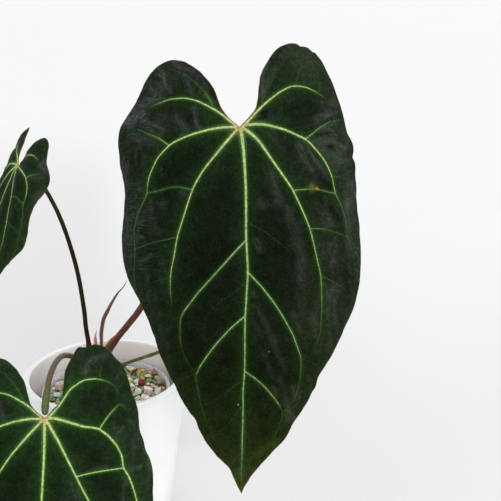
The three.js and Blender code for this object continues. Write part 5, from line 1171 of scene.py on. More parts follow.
parts = [sweep([(CX + 3, CY + 1, 84), (CX + 1, CY + 1, 104), (CX, CY, 124), (CX, CY, CZ - 1)], [(0, 5.6), (.3, 8.0), (.7, 8.6), (.95, 8.0), (1, 6)], spacing=0.9, sides=48, shape=stem_shape, caps=(1, .45))]
for angle, out, drop, z in ((20, 22, 58, 127), (78, 18, 70, 124), (140, 24, 52, 128), (200, 19, 66, 125), (262, 23, 60, 129), (318, 17, 74, 123)):
    c, q = math.cos(angle * RAD), math.sin(angle * RAD)
    root = [(CX + 2 * c, CY + 2 * q, z + 3), (CX + 9 * c, CY + 9 * q, z + 2), (CX + (8 + .5 * out) * c, CY + (8 + .5 * out) * q, z - 7),
            (CX + (8 + .85 * out) * c, CY + (8 + .85 * out) * q, z - 28), (CX + (8 + out) * c - 3 * q, CY + (8 + out) * q + 3 * c, z - drop)]
    parts.append(sweep(root, [(0, 2.4), (.5, 2.0), (.9, 1.6), (1, 1.0)], spacing=1.4, sides=14, shape=ridged(0.06, 3, int(angle))))
V, Fc, cols, at = [], [], [], 0
for v, f, t, a, L in parts:
    V.append(v)
    cols.append(bark_colour(t, a, v, L))
    Fc += [tuple(i + at for i in q) for q in f]
    at += len(v)
stem = make_piece("stem_bark_piece", np.vstack(V), Fc, [stalk_material("stem_bark_skin", rough=0.75, spec=0.2, bump=0.7)], colours={"stalkcol": np.vstack(cols)})
place(stem, "stem_bark", "stem_and_roots")


# ---------------------------------------------------------------- flower
SPATHE = dict(sinus=(112.8, -16.2, 250), yaw=0, roll=5, lean=188, leanDown=0.45, leanUp=0.45, bend=0.06, valley=(0.3, 3), wave=(0, 50, 0, 0))


def spathe_piece():
    nt, nw = 90, 28
    t = np.linspace(0, 1, nt)
    half = 8.2 * np.sin(math.pi * np.minimum(1, t ** 0.7)) ** 0.8 + 0.35 * (1 - t) + 0.05
    s = np.linspace(-1, 1, nw)
    U = half[:, None] * s[None]
    W = np.broadcast_to((67 * t)[:, None], U.shape)
    u, v = U.ravel(), W.ravel()
    C, du, dv, N = blade_axes(SPATHE, u, np.maximum(v, 0.01))
    ss = np.broadcast_to(s[None], U.shape).ravel()
    tt = np.broadcast_to(t[:, None], U.shape).ravel()
    rib = 0.14 * np.exp(-((np.mod(ss * 4.5 + 0.5, 1.0) - 0.5) / 0.14) ** 2) + 0.3 * np.exp(-(ss / 0.07) ** 2)
    wav = 0.35 * np.sin(v / 7.0 + 1.0) * np.abs(ss) ** 2 + 0.25 * noise(np.column_stack([u, v]) / 6.0, 81)
    th = 0.30 + 0.18 * (1 - np.abs(ss))
    a = C + N * (wav + th)[:, None]
    b = C + N * (wav - th - rib * (1 - tt))[:, None]
    verts = np.vstack([a, b])
    n = len(a)
    faces = []
    for i in range(nt - 1):
        for j in range(nw - 1):
            q = (i * nw + j, i * nw + j + 1, (i + 1) * nw + j + 1, (i + 1) * nw + j)
            faces += [q, tuple(x + n for x in q[::-1])]
    border = [j for j in range(nw)] + [i * nw + nw - 1 for i in range(1, nt)] + [(nt - 1) * nw + j for j in range(nw - 2, -1, -1)] + [i * nw for i in range(nt - 2, 0, -1)]
    for i in range(len(border)):
        p, q = border[i], border[(i + 1) % len(border)]
        faces.append((q, p, p + n, q + n))
    nrm = np.cross(a[nw] - a[0], a[1] - a[0])
    col = np.tile(lin(112, 128, 74), (n, 1))
    col = mixc(col, lin(140, 112, 84), step(0.6, 1, np.abs(ss)) * 0.6)
    col = mixc(col, lin(150, 104, 84), step(0.85, 1, tt) * 0.8)
    col = mixc(col, lin(146, 158, 104), np.clip(rib / 0.14, 0, 1) * 0.4)
    ob = make_piece("spathe_leaf", verts, faces, [stalk_material("spathe_skin", rough=0.45)], colours={"stalkcol": np.vstack([col, mixc(col, lin(128, 140, 92), np.full(n, .5))])})
    place(ob, "spathe_green", "spathe")


def spadix_colour(t, a, V, L):
    return mixc(np.tile(lin(120, 104, 62), (len(t), 1)), lin(96, 88, 50), 0.5 + 0.5 * noise(V / 3.0, 91))


def spadix_shape(t, a, mm):
    # small florets in two families of spirals
    k = 0.5 + 0.5 * np.cos(9 * a + mm * 1.9) * np.cos(9 * a - mm * 1.9)
    return 0.92 + 0.13 * k


spathe_piece()
spadix = stalk_piece("spadix_florets", "spadix", "spadix_olive", stalk_material("spadix_skin", rough=0.6, bump=0.6),
                     [(112.6, -19.8, 251.2), (115, -18.5, 262), (117, -16, 290), (116, -13, 321.6)], [(0, 1.8), (.1, 2.55), (.5, 2.65), (.85, 2.0), (1, .9)],
                     spadix_colour, shape=spadix_shape, sides=72, spacing=0.32)


# ---------------------------------------------------------------- pots
def lathe(profile, seg, wobble=None):
    """Closed ring of a profile [(r, z)] turned about Z; profile points with r == 0 become poles."""
    verts, faces, rows = [], [], []
    for r, z in profile:
        if r == 0:
            rows.append([len(verts)])
            verts.append((0, 0, z))
            continue
        rows.append(list(range(len(verts), len(verts) + seg)))
        a = 2 * math.pi * np.arange(seg) / seg
        rr = r + (wobble(a, r, z) if wobble else 0)
        verts += list(zip(rr * np.cos(a), rr * np.sin(a), np.full(seg, z)))
    closed = profile[0][0] != 0 or profile[-1][0] != 0
    last = len(rows) if closed else len(rows) - 1
    for i in range(last):
        A, B = rows[i], rows[(i + 1) % len(rows)]
        for j in range(seg):
            k = (j + 1) % seg
            if len(A) == 1 and len(B) == 1:
                break
            if len(A) == 1:
                faces.append((A[0], B[k], B[j]))
            elif len(B) == 1:
                faces.append((A[j], A[k], B[0]))
            else:
                faces.append((A[j], A[k], B[k], B[j]))
    return np.array(verts, float), faces


def arc(cx, cz, r, a0, a1, n):
    return [(cx + r * math.cos(a * RAD), cz + r * math.sin(a * RAD)) for a in np.linspace(a0, a1, n)]


def outer_r(z):
    return 55.6 + (75 - 55.6) / 146 * z


def inner_r(z):
    return outer_r(z) - 7.2


def dense(profile, gap):
    out = [profile[0]]
    for p, q in zip(profile[:-1], profile[1:]):
        n = max(1, int(math.ceil(math.dist(p, q) / gap)))
        out += [(p[0] + (q[0] - p[0]) * i / n, p[1] + (q[1] - p[1]) * i / n) for i in range(1, n + 1)]
    return out


lip_o, lip_i = 2.1, 1.5
top = 146.0
profile = [(0.0, 1.3), (49.5, 1.3)] + [(50.6, 0.9), (51.2, 0.25), (52.0, 0.0), (53.4, 0.0), (54.6, .35), (55.3, 1.1), (outer_r(2.4), 2.4)]
profile = dense(profile, 6.0)
profile += dense([(outer_r(2.4), 2.4), (outer_r(top - lip_o) - 0.02, top - lip_o)], 4.5)[1:]
profile += arc(outer_r(top) - lip_o - 0.1, top - lip_o, lip_o, 8, 90, 8)
profile += arc(inner_r(top) + lip_i, top - lip_i, lip_i, 90, 176, 7)
profile += dense([(inner_r(top - lip_i) + .02, top - lip_i - .4), (inner_r(16), 16)], 5.0)
profile += arc(inner_r(16) - 6.2, 14.4, 6.2, 0, -88, 9)
profile += dense([(inner_r(16) - 8, 8.2), (12, 8.2)], 8.0)
profile += [(0.0, 8.2)]


def throw(a, r, z):
    # a moulded pot is very slightly out of true, and its glaze pools a little
    return 0.10 * np.sin(2 * a + 0.6) * (z / 146) + 0.05 * np.sin(3 * a + z / 31.0) + 0.03 * np.sin(5 * a - z / 17.0)


V, Fc = lathe(profile, 192, throw)
M = Mat("pot_glaze_gloss", Roughness=0.16, Specular_IOR_Level=0.5, Coat_Weight=0.6, Coat_Roughness=0.04)
P = M.coords()
pool = M.noise(24, 3, 0.5)
fine = M.noise(700, 3, 0.55)
col = M.mix((0.935, 0.94, 0.95), (0.955, 0.958, 0.963), M.ramp(pool, 0.35, 0.65))
speck = M.ramp(M.voronoi(140, "F1"), 0.02, 0.05, (1.0, 0.0))
col = M.mix(col, (0.62, 0.60, 0.56), M.math("MULTIPLY", speck, M.ramp(M.noise(30, 2), 0.55, 0.75, (0.0, 0.35))))
z = M.node("ShaderNodeSeparateXYZ", i0=P).outputs[2]
# painted light: the outer wall is painted lighter toward the top
col = M.mix(col, (0.985, 0.987, 0.99), M.ramp(z, 0.05, 0.135, (0.0, 0.9)))
# painted shade: the top of the rim is painted duller
col = M.mix(col, (0.86, 0.86, 0.865), M.ramp(z, 0.1440, 0.1452))
# painted colour bounce: the inside is tinted warmer
col = M.mix(col, (0.91, 0.86, 0.83), M.attr("inner"))
foot = M.ramp(z, 0.0002, 0.0016, (1.0, 0.0))
col = M.mix(col, (0.70, 0.67, 0.62), M.math("MULTIPLY", foot, 0.8))
M.link("Base Color", col)
M.link("Roughness", M.math("MAXIMUM", M.ramp(M.noise(60, 3), 0.3, 0.7, (0.12, 0.22)), M.math("MULTIPLY", foot, 0.7)))
M.link("Normal", M.bump(M.math("MULTIPLY_ADD", M.noise(55, 2, 0.4), 1.0, M.math("MULTIPLY", fine, 0.05)), 0.12, 0.0006))
rr = np.hypot(V[:, 0], V[:, 1])
within = ((rr < outer_r(V[:, 2]) - 4.5) & (V[:, 2] < 144.5) & (V[:, 2] > 4)).astype(float)
pot = place(make_piece("cover_pot_glazed", V, Fc, [M.m], floats={"inner": within}), "pot_glaze", "cover_pot")


# the clear inner pot: a thin ribbed cone with a rolled rim and drain holes in its floor
def liner_r(z):
    return 46 + (59 - 2.2 - 46) * (z - 8.35) / (130 - 8.35)


def liner_piece():
    seg, w = 144, 0.9
    foot = 8.4
    out = [(liner_r(foot + .9) - .9, foot), (liner_r(foot + .9) - .25, foot + .25), (liner_r(foot + .9), foot + .9)]
    out += dense([(liner_r(foot + .9), foot + .9), (liner_r(125.4), 125.4)], 4.5)[1:]
    out += [(57.2, 125.9), (58.4, 126.1), (58.85, 126.7), (58.95, 127.6), (58.9, 128.7), (58.5, 129.5), (57.9, 129.85), (57.2, 129.8), (56.6, 129.4)]
    inn = [(liner_r(126) - w, 127.9), (liner_r(124) - w, 124)] + dense([(liner_r(124) - w, 124), (liner_r(foot + w + .6) - w, foot + w + .6)], 5.0)[1:]
    inn += [(liner_r(foot) - w - .7, foot + w)]

    def ribs(a, r, z):
        d = np.exp(-((np.mod(a * 12 / (2 * math.pi), 1.0) - 0.5) / 0.06) ** 2)
        return -0.35 * d * (0 if z > 120 else 1) + 0.12 * np.sin(3 * a + 1.0) * (z / 130)
    prof = out + inn
    verts, faces = [], []
    ang = 2 * math.pi * np.arange(seg) / seg
    for r, z in prof:
        rr = r + ribs(ang, r, z)
        verts += list(zip(rr * np.cos(ang), rr * np.sin(ang), np.full(seg, z)))
    m = len(prof)
    for i in range(m - 1):
        for j in range(seg):
            k = (j + 1) % seg
            faces.append((i * seg + j, i * seg + k, (i + 1) * seg + k, (i + 1) * seg + j))
    # floor: outer side at z foot, inner side at foot + w, with holes through both
    first, last = list(range(seg)), list(range((m - 1) * seg, m * seg))
    hole_n = 24
    holes = []
    for i in range(6):
        a = i * 60 * RAD + 0.3
        holes.append([(30 * math.cos(a) + 4 * math.cos(2 * math.pi * q / hole_n), 30 * math.sin(a) + 4 * math.sin(2 * math.pi * q / hole_n)) for q in range(hole_n)])
    pts_in = []
    for y in np.arange(-46, 47, 5.0):
        for x in np.arange(-46, 47, 5.0):
            if math.hypot(x, y) < 42 and all(math.hypot(x - 30 * math.cos(i * 60 * RAD + .3), y - 30 * math.sin(i * 60 * RAD + .3)) > 5.2 for i in range(6)):
                pts_in.append((x, y))

    def plate(border, zz, up):
        pts = [(verts[i][0], verts[i][1]) for i in border]
        ids = list(border)
        edges = [(i, (i + 1) % seg) for i in range(seg)]
        hole_ids = []
        for h in holes:
            start = len(pts)
            for p in h:
                pts.append(p)
                ids.append(len(verts))
                verts.append((p[0], p[1], zz))
            edges += [(start + q, start + (q + 1) % hole_n) for q in range(hole_n)]
            hole_ids.append(ids[start:start + hole_n])
        for p in pts_in:
            pts.append(p)
            ids.append(len(verts))
            verts.append((p[0], p[1], zz))
        res = delaunay_2d_cdt([Vector(p) for p in pts], edges, [], 0, 1e-6, True)
        for f in res[2]:
            c = np.mean([pts[res[3][i][0]] for i in f], axis=0)
            if math.hypot(*c) < 50 and all(math.hypot(c[0] - 30 * math.cos(i * 60 * RAD + .3), c[1] - 30 * math.sin(i * 60 * RAD + .3)) > 3.95 for i in range(6)):
                g = [ids[res[3][i][0]] for i in f]
                faces.append(tuple(g if up else g[::-1]))
        return hole_ids
    low = plate(first, foot, False)
    high = plate(last, foot + w, True)
    for a, b in zip(low, high):
        for q in range(hole_n):
            k = (q + 1) % hole_n
            faces.append((a[k], a[q], b[q], b[k]))
    M = Mat("liner_clear", Roughness=0.22, Specular_IOR_Level=0.5, Transmission_Weight=0.5, IOR=1.25, Alpha=0.84)
    col = M.mix((0.82, 0.815, 0.87), (0.90, 0.895, 0.93), M.ramp(M.noise(40, 3), 0.35, 0.65))
    scuff = M.ramp(M.noise(500, 3, 0.6, vector=M.stretch((1, 1, 0.25))), 0.55, 0.75)
    col = M.mix(col, (0.90, 0.90, 0.92), M.math("MULTIPLY", scuff, 0.4))
    M.link("Base Color", col)
    M.link("Roughness", M.ramp(scuff, 0.0, 1.0, (0.16, 0.42)))
    M.link("Normal", M.bump(M.noise(220, 2), 0.15, 0.0004))
    place(make_piece("nursery_pot_clear", verts, faces, [M.m]), "clear_plastic", "nursery_pot")


liner_piece()


# ---------------------------------------------------------------- stones and substrate
def turned(ax, ay, az):
    ca, sa, cb, sb, cc, sc = math.cos(ax), math.sin(ax), math.cos(ay), math.sin(ay), math.cos(az), math.sin(az)
    X = np.array([[1, 0, 0], [0, ca, -sa], [0, sa, ca]])
    Y = np.array([[cb, 0, sb], [0, 1, 0], [-sb, 0, cb]])
    Z = np.array([[cc, -sc, 0], [sc, cc, 0], [0, 0, 1]])
    return Z @ Y @ X


def facet_chip(size, rng, facets=10, bevel=0.22, cuts=0):
    """A crushed stone: random planes round the middle meet in crisp, narrowly rounded edges."""
    n = rng.normal(size=(facets, 3))
    n = np.vstack([n, np.array([[0, 0, 1], [0, 0, -1], [1, .2, 0], [-1, -.1, 0], [0, 1, .1], [0, -1, -.1]]) + rng.normal(0, .22, (6, 3))])
    n /= np.linalg.norm(n, axis=1)[:, None]
    h = np.r_[rng.uniform(0.78, 1.12, facets), rng.uniform(0.8, 1.0, 6)]
    bm = bmesh.new()
    for p in n / h[:, None]:
        bm.verts.new(p)
    bmesh.ops.convex_hull(bm, input=bm.verts)
    corners = []
    for f in bm.faces:
        a, b, c = (np.array(v.co) for v in f.verts)
        m = np.cross(b - a, c - a)
        d = m @ a
        if abs(d) > 1e-6:
            corners.append(m / d)
    bm.free()
    pts = np.array(corners)
    pts = pts[np.linalg.norm(pts, axis=1) < 2.2]
    pts = pts / np.abs(pts).max(0) * np.asarray(size)[None] / 2
    bm = bmesh.new()
    for p in pts:
        bm.verts.new(p)
    bmesh.ops.remove_doubles(bm, verts=bm.verts, dist=0.05 * max(size))
    got = bmesh.ops.convex_hull(bm, input=bm.verts)
    loose = [v for v in bm.verts if not v.link_faces]
    bmesh.ops.delete(bm, geom=loose, context="VERTS")
    bmesh.ops.dissolve_limit(bm, angle_limit=9 * RAD, verts=bm.verts, edges=bm.edges)
    bmesh.ops.bevel(bm, geom=bm.edges[:] + bm.verts[:], offset=bevel, segments=2, profile=0.6, affect="EDGES", clamp_overlap=True)
    bmesh.ops.triangulate(bm, faces=bm.faces)
    for _ in range(cuts):
        long = [e for e in bm.edges if e.calc_length() > 0.9]
        if long:
            bmesh.ops.subdivide_edges(bm, edges=long, cuts=1)
            bmesh.ops.triangulate(bm, faces=bm.faces)
    bm.verts.index_update()
    v = np.array([tuple(q.co) for q in bm.verts])
    f = np.array([[q.index for q in g.verts] for g in bm.faces])
    bm.free()
    return v, f


def stone_material(name, rough=0.85, pores=0.0, contrast=0.45, bump=0.6, spec=0.22):
    M = Mat(name, Roughness=rough, Specular_IOR_Level=spec)
    base = M.attr("stonecol", "Color")
    fleck = M.noise(1500, 4, 0.65)
    cloud = M.noise(330, 3, 0.55)
    k = 1 - contrast
    col = M.mix(base, M.mix(base, (k, k, k * 0.97), 1.0, "MULTIPLY"), M.ramp(fleck, 0.42, 0.66))
    col = M.mix(col, M.mix(col, (1.30, 1.28, 1.22), 1.0, "MULTIPLY"), M.ramp(cloud, 0.45, 0.7))
    height = M.math("MULTIPLY_ADD", fleck, 0.6, M.math("MULTIPLY", cloud, 0.6))
    if pores:
        p = M.ramp(M.voronoi(950, "F1"), 0.16, 0.34, (1.0, 0.0))
        q = M.ramp(M.voronoi(2100, "F1"), 0.16, 0.36, (1.0, 0.0))
        hole = M.math("MAXIMUM", p, M.math("MULTIPLY", q, 0.6))
        # painted shade in the holes: the pores darken the colour
        col = M.mix(col, M.mix(col, (0.42, 0.37, 0.34), 1.0, "MULTIPLY"), M.math("MULTIPLY", hole, pores))
        height = M.math("MULTIPLY_ADD", hole, -1.2, height)
    M.link("Base Color", col)
    M.link("Normal", M.bump(height, bump, 0.0006))
    return M.m


STONES = [
    ("stone_pumice_large", "pumice", (10.5, 10, 10.5), (41.1, -5, 130), (4, 8, 12), (252, 236, 226), 1),
    ("stone_pumice_small", "pumice", (8, 10, 10), (50.6, -8, 129.4), (8, -6, 25), (250, 232, 222), 1),
    ("stone_lava", "lava_rock", (9.5, 9, 7), (32.2, 7.6, 130), (12, 8, 30), (150, 62, 44), 1),
    ("stone_sage", "sage_stone", (12, 9, 7), (17.5, 37, 129.6), (8, 14, 60), (208, 200, 160), 0),
    ("stone_white", "pale_stone", (11, 9, 7), (30, -10, 130.2), (15, 10, 100), (196, 208, 196), 0),
    ("stone_grey", "grey_stone", (10, 10, 8), (48, 14.5, 129.2), (-10, 16, 20), (168, 164, 140), 0),
    ("stone_ochre", "ochre_stone", (9, 6, 6), (41.5, 33, 128.8), (0, 20, -40), (142, 112, 64), 0),
    ("stone_back", "sage_stone", (11, 9, 8), (-22, 34, 129.4), (14, 0, 10), (176, 168, 138), 0),
    ("stone_left", "pumice", (12, 10, 8), (-44, 4, 129.2), (0, 18, 75), (214, 200, 188), 1),
    ("stone_front", "grey_stone", (10, 9, 8), (-2, -38, 129.6), (20, 5, 140), (158, 160, 138), 0),
]
pumice_mat = stone_material("pumice_stone", pores=0.34, contrast=0.10, bump=0.9)
lava_mat = stone_material("lava_stone", pores=0.9, contrast=0.5, bump=1.0)
plain_mat = stone_material("mineral_stone", pores=0.0, contrast=0.4)
rng = np.random.default_rng(4021)
for name, slot, size, at, turn, rgb, porous in STONES:
    lo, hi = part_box(name)
    lo, hi = np.array(lo) * 1000, np.array(hi) * 1000
    v, f = facet_chip(np.array(size, float), rng, facets=0 if "pumice" in name else 3, bevel=0.5 if porous else 0.32, cuts=4)
    away = v / np.linalg.norm(v, axis=1)[:, None]
    dent = 0.16 * noise(v / 1.5, 303) + 0.10 * noise(v / 0.8, 304)
    if porous:
        dent = dent - 0.55 * np.clip(noise(v / 1.15, 305) - 0.2, 0, 1) - 0.35 * np.clip(noise(v / 0.7, 306) - 0.25, 0, 1)
    v = v + away * dent[:, None]
    v = v @ turned(turn[0] * RAD, turn[1] * RAD, turn[2] * RAD).T
    v = (v - (v.max(0) + v.min(0)) / 2) / (v.max(0) - v.min(0)) * (hi - lo) + (hi + lo) / 2
    if name == "stone_pumice_large":
        # squarer than its box and nearer the rim
        v[:, 0] = lo[0] + (v[:, 0] - lo[0]) * 0.80
        v[:, 1] -= 3.2
    if name == "stone_pumice_small":
        v[:, 0] = hi[0] - 2.9 - (hi[0] - v[:, 0]) * 0.74
        v[:, 1] -= 1.5
    base = lin(*rgb)
    worn = [0.92, 0.89, 0.86] if slot == "pumice" else [0.74, 0.72, 0.7]
    col = mixc(np.tile(base, (len(v), 1)), base * worn, 0.3 + 0.5 * noise(v / 3.2, 301))
    col = mixc(col, np.minimum(base * 1.25, 0.94), step(0.1, 0.7, noise(v / 1.7, 302)) * 0.6)
    ob = make_piece(name + "_rock", v, f, [pumice_mat if slot == "pumice" else lava_mat if porous else plain_mat], colours={"stonecol": col}, smooth=porous)
    print(name, len(f))
    place(ob, slot, name)


def bed_r(z):
    return liner_r(z) - 1.3 - .35 - .15


def bed_z(r):
    return 125.5 + 2.5 * (1 - (r / 54.5) ** 2)


def bed_piece():
    """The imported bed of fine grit: a closed body with a lumpy top and sides."""
    seg, nr = 220, 62
    ang = 2 * math.pi * np.arange(seg) / seg
    verts, faces, col = [], [], []
    rt = bed_r(124.6)
    radii = rt * np.linspace(0, 1, nr + 1)[1:]
    verts.append(np.array([[0, 0, 126.0]]))
    for r in radii:
        verts.append(np.column_stack([r * np.cos(ang), r * np.sin(ang), np.full(seg, bed_z(r) - 2.6)]))
    zs = np.linspace(124.2, 11.0, 46)
    side0 = 1 + nr * seg
    for z in zs:
        r = bed_r(z) - 0.2
        verts.append(np.column_stack([r * np.cos(ang), r * np.sin(ang), np.full(seg, z)]))
    r = bed_r(11.0) - 1.2
    verts.append(np.column_stack([r * np.cos(ang), r * np.sin(ang), np.full(seg, 10.2)]))
    verts.append(np.array([[0, 0, 10.2]]))
    V = np.vstack(verts)
    for j in range(seg):
        k = (j + 1) % seg
        faces.append((0, 1 + j, 1 + k))
    rows = nr + len(zs) + 1
    for i in range(rows - 1):
        for j in range(seg):
            k = (j + 1) % seg
            a, b = 1 + i * seg, 1 + (i + 1) * seg
            faces.append((a + j, b + j, b + k, a + k))
    lastrow = 1 + (rows - 1) * seg
    for j in range(seg):
        faces.append((lastrow + (j + 1) % seg, lastrow + j, len(V) - 1))
    top = np.arange(len(V)) < side0
    # lumps of grit
    bump = 0.9 * noise(V / 3.1, 311) + 0.6 * noise(V / 1.6, 312)
    V[top, 2] += np.clip(bump[top], -1.2, 1.0)
    r = np.hypot(V[:, 0], V[:, 1])
    push = np.where(~top & (r > 1), np.clip(-0.45 + 0.4 * bump, -1.1, 0.0), 0)
    V[:, 0] *= 1 + push / np.maximum(r, 1)
    V[:, 1] *= 1 + push / np.maximum(r, 1)
    cell = np.floor(V / 3.3 + 0.4 * noise(V / 2.0, 313)[:, None]).astype(np.int64)
    pick = hash01(cell[:, 0], cell[:, 1], cell[:, 2], 5)
    table_c = np.array([lin(60, 64, 52), lin(84, 78, 62), lin(104, 98, 80), lin(46, 44, 38), lin(120, 84, 56)])
    col = table_c[(pick * 4.999).astype(int)]
    # painted shade in the hollows: low parts of the lumpy top are darker
    col = mixc(col, lin(30, 28, 24), step(0.1, -0.7, bump))
    ob = make_piece("substrate_grit", V, faces, [stone_material("grit", contrast=0.55, bump=0.9)], colours={"stonecol": col})
    place(ob, "mineral_mix", "substrate")


bed_piece()
PALETTE = [  # share and three colours to choose from
    (.30, [(152, 162, 130), (136, 150, 120), (170, 176, 146)]),
    (.14, [(104, 118, 94), (88, 104, 84), (76, 92, 80)]),
    (.15, [(180, 196, 184), (150, 182, 170), (198, 204, 194)]),
    (.17, [(186, 170, 128), (204, 192, 154), (168, 152, 116)]),
    (.05, [(210, 140, 82), (232, 156, 68), (196, 112, 60)]),
    (.06, [(172, 126, 54), (190, 146, 70), (150, 112, 48)]),
    (.003, [(150, 66, 46), (128, 54, 40), (168, 84, 58)]),
    (.05, [(216, 196, 186), (226, 208, 200), (206, 184, 172)]),
    (.04, [(70, 64, 54), (58, 60, 52), (88, 74, 58)]),
]


# the stones that show in the pot's opening, one by one: x, y, width, depth, height, turn, colour
SEEN = [
    (25.4, 34.0, 3.4, 5.5, 6.5, 80, (176, 146, 90)), (28.9, 39.5, 6, 4.5, 4.5, 20, (212, 140, 76)), (36.6, 36.2, 6, 4, 4, -10, (200, 136, 76)),
    (44.6, 25.6, 6.5, 5.5, 5, 15, (148, 158, 130)), (35.4, 28.3, 8.5, 6.5, 5.5, -15, (178, 176, 142)), (31.4, 34.2, 6, 5, 5, 30, (112, 126, 104)),
    (30.3, 22.9, 5.5, 5, 5.5, 10, (218, 150, 106)), (22.2, 25.2, 7.5, 6.5, 6, 0, (132, 158, 146)), (18.6, 18.0, 6.5, 6, 5, 20, (196, 182, 144)),
    (26.0, 15.6, 7.5, 5, 4.5, -12, (178, 202, 184)), (37.6, 18.6, 8, 6.5, 5, 10, (106, 124, 104)), (22.6, 7.2, 7, 6, 5, 25, (194, 212, 200)),
    (42.6, 5.2, 10, 5.5, 4.6, -8, (172, 168, 142)), (52.4, 1.0, 4, 4.5, 7, 0, (170, 122, 60)), (24.0, -2.6, 4.4, 4, 5.5, 40, (226, 150, 70)),
    (27.6, -20.6, 5, 4.5, 4, 0, (120, 62, 46)), (33.6, -24.6, 7.5, 6, 5, 20, (220, 198, 178)), (39.4, -18.8, 11, 7.5, 8.5, -6, (202, 188, 181)),
    (31.0, -15.8, 6, 5, 5, 35, (222, 198, 184)), (31.4, -26.6, 6, 5, 5, 0, (214, 156, 112)), (16.8, 8.8, 6, 5, 5, 15, (120, 148, 136)), (48.2, -18.4, 6, 5.5, 5, 25, (206, 196, 176)),
]


def scatter_chips():
    rng = np.random.default_rng(90210)
    taken = [(s[3][0], s[3][1], min(s[2][:2]) / 2 - .2) for s in STONES] + [(CX, CY, 10.0)] + [(s[0], s[1], min(s[2:4]) / 2) for s in SEEN]
    shares = np.cumsum([p[0] for p in PALETTE])
    batches = []
    R = bed_r(124.5)
    for layer, count, sizes, lift in ((0, 330, (4.0, 7.0), -2.5), (1, 300, (5.0, 11.0), -0.3), (2, 140, (2.6, 4.6), 0.6)):
        spots = []
        made, at = 0, 0
        V, F, C = [], [], []
        for _ in range(count * 60):
            if made >= count:
                break
            big = sizes[0] + (sizes[1] - sizes[0]) * rng.uniform() ** 1.5
            rr = (R - big * .5) * math.sqrt(rng.uniform())
            an = rng.uniform(0, 2 * math.pi)
            x, y = rr * math.cos(an), rr * math.sin(an)
            if any((x - a) ** 2 + (y - b) ** 2 < (big * .40 + c * .80) ** 2 for a, b, c in spots):
                continue
            if layer and any((x - a) ** 2 + (y - b) ** 2 < (big * .40 + c) ** 2 for a, b, c in taken):
                continue
            if layer == 0 and math.hypot(x - CX, y - CY) < 9.5:
                continue
            spots.append((x, y, big / 2))
            size = np.array([1.0, rng.uniform(.62, .92), rng.uniform(.42, .72)]) * big
            v, f = facet_chip(size, rng, facets=int(rng.integers(2, 7)), bevel=0.035 * big)
            v = v @ turned(rng.normal(0, .42), rng.normal(0, .42), rng.uniform(0, 2 * math.pi)).T
            top_z = bed_z(rr) + lift + rng.uniform(-.6, 1.0)
            v = v + [x, y, min(top_z, 129.7 - v[:, 2].max())]
            r = np.hypot(v[:, 0], v[:, 1])
            over = np.maximum(0, r - (R - 0.1))
            v[:, 0] -= v[:, 0] / np.maximum(r, 1) * over
            v[:, 1] -= v[:, 1] / np.maximum(r, 1) * over
            group = PALETTE[int(np.searchsorted(shares, rng.uniform() * shares[-1] * 0.9999))][1]
            base = np.minimum(lin(*group[int(rng.integers(len(group)))]) * rng.uniform(1.3, 1.8), 0.92)
            other = lin(*PALETTE[int(rng.integers(5))][1][0])
            c = mixc(np.tile(base, (len(v), 1)), other, step(0.1, 0.6, noise(v / 2.4 + rng.uniform(0, 9, 3), 321)) * rng.choice([0, .3, .6]))
            c = mixc(c, base * 0.75, 0.5 + 0.5 * noise(v / 1.4, 322))
            V.append(v)
            F.append(f + at)
            C.append(c)
            at += len(v)
            made += 1
        for x, y, w, d, h, turn, rgb in (SEEN if layer == 1 else ()):
            v, f = facet_chip((w, d, h), rng, facets=5, bevel=0.10)
            v = v @ turned(rng.normal(0, .26), rng.normal(0, .26), turn * RAD).T
            v = v + [x, y, 131.6 - v[:, 2].max() if h > 8 else min(bed_z(math.hypot(x, y)) + 0.2, 129.9 - v[:, 2].max())]
            base = np.minimum(lin(*rgb) * 1.75, 0.94)
            c = mixc(np.tile(base, (len(v), 1)), base * 0.72, 0.5 + 0.5 * noise(v / 1.4, 323))
            V.append(v)
            F.append(f + at)
            C.append(c)
            at += len(v)
        batches.append((made, np.vstack(V), np.vstack(F), np.vstack(C)))
    chips_mat = stone_material("chips", contrast=0.45, bump=0.7)
    for k, (made, V, F, C) in enumerate(batches):
        ob = make_piece("substrate_chips_%d" % (k + 1), V, F, [chips_mat], colours={"stonecol": C}, smooth=False)
        place(ob, "mineral_mix")
        print("chips", k, made, len(F))


scatter_chips()


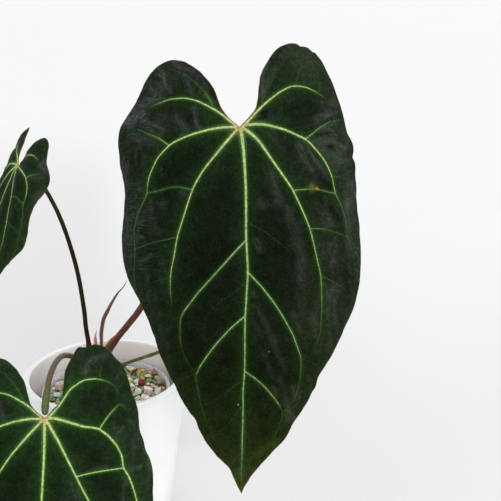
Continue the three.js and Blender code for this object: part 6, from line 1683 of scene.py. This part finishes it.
# ---------------------------------------------------------------- floor, light and camera
def stage_floor():
    n = 96
    rings = [0.0, 0.5, 1.5, 4.0, 12.0, 40.0]
    verts, faces = [(0, 0, -0.0004)], []
    for r in rings[1:]:
        for i in range(n):
            a = 2 * math.pi * i / n
            verts.append((r * math.cos(a), r * math.sin(a), -0.0004))
    for i in range(n):
        faces.append((0, 1 + i, 1 + (i + 1) % n))
    for k in range(len(rings) - 2):
        for i in range(n):
            a, b = 1 + k * n + i, 1 + k * n + (i + 1) % n
            faces.append((a, a + n, b + n, b))
    me = bpy.data.meshes.new("floor")
    me.from_pydata(verts, [], faces)
    M = Mat("floor_pale", Roughness=0.7, Specular_IOR_Level=0.2)
    # a pale sweep with painted shade toward its left side and toward its front on the right
    P = M.node("ShaderNodeSeparateXYZ", i0=M.coords())
    side = M.ramp(M.math("MULTIPLY_ADD", P.outputs[1], 0.165, P.outputs[0]), -0.08, 0.14, (1.0, 0.0))
    side = M.math("MULTIPLY", side, M.ramp(P.outputs[1], 0.9, 2.3, (1.0, 0.0)))
    front = M.math("MULTIPLY", M.ramp(P.outputs[1], 0.15, 0.95, (1.0, 0.0)), M.ramp(P.outputs[0], 0.05, 0.30))
    col = M.mix((0.706, 0.707, 0.709), (0.666, 0.664, 0.661), front)
    col = M.mix(col, (0.618, 0.615, 0.610), side)
    # a painted pool of light on the floor just right of and behind the pot
    dx, dy = M.math("ADD", P.outputs[0], -0.066), M.math("ADD", P.outputs[1], -0.05)
    near = M.math("ADD", M.math("MULTIPLY", dx, dx), M.math("MULTIPLY", dy, dy))
    col = M.mix(col, (0.735, 0.736, 0.740), M.ramp(near, 0.0006, 0.0062, (1.0, 0.0)))
    M.link("Base Color", M.mix(col, M.mix(col, (0.99, 0.99, 0.99), 1.0, "MULTIPLY"), M.noise(3.0, 2)))
    me.materials.append(M.m)
    ob = bpy.data.objects.new("floor", me)
    bpy.context.scene.collection.objects.link(ob)


stage_floor()
world = bpy.data.worlds.new("studio")
bpy.context.scene.world = world
world.use_nodes = True
world.node_tree.nodes["Background"].inputs["Color"].default_value = (0.98, 0.99, 1.0, 1)
world.node_tree.nodes["Background"].inputs["Strength"].default_value = 0.74


def sun(name, strength, angle, azimuth, elevation, colour=(1, 1, 1)):
    """A soft sun; azimuth 0 shines from -Y, 90 from +X."""
    li = bpy.data.lights.new(name, "SUN")
    li.energy, li.angle, li.color = strength, angle * RAD, colour
    ob = bpy.data.objects.new(name, li)
    bpy.context.scene.collection.objects.link(ob)
    a, e = azimuth * RAD, elevation * RAD
    d = Vector((math.sin(a) * math.cos(e), -math.cos(a) * math.cos(e), math.sin(e)))
    ob.rotation_mode = "QUATERNION"
    ob.rotation_quaternion = d.to_track_quat("Z", "Y")
    return ob


sun("key", 0.3, 55, -50, 40)
sun("front", 2.5, 55, 8, 18)
sun("top", 0.3, 60, 0, 84)
sun("back", 0.8, 60, 160, 56)
cam = bpy.data.cameras.new("camera")
cam.lens, cam.sensor_width, cam.clip_start, cam.clip_end = 60, 36, 0.02, 200
camera = bpy.data.objects.new("camera", cam)
bpy.context.scene.collection.objects.link(camera)
camera.location = (0.134, -0.694, 0.499)
camera.rotation_euler = ((90 - 18.7) * RAD, 0, 0)
bpy.context.scene.camera = camera
bpy.context.scene.view_settings.view_transform = "Standard"
bpy.context.scene.view_settings.look = "None"
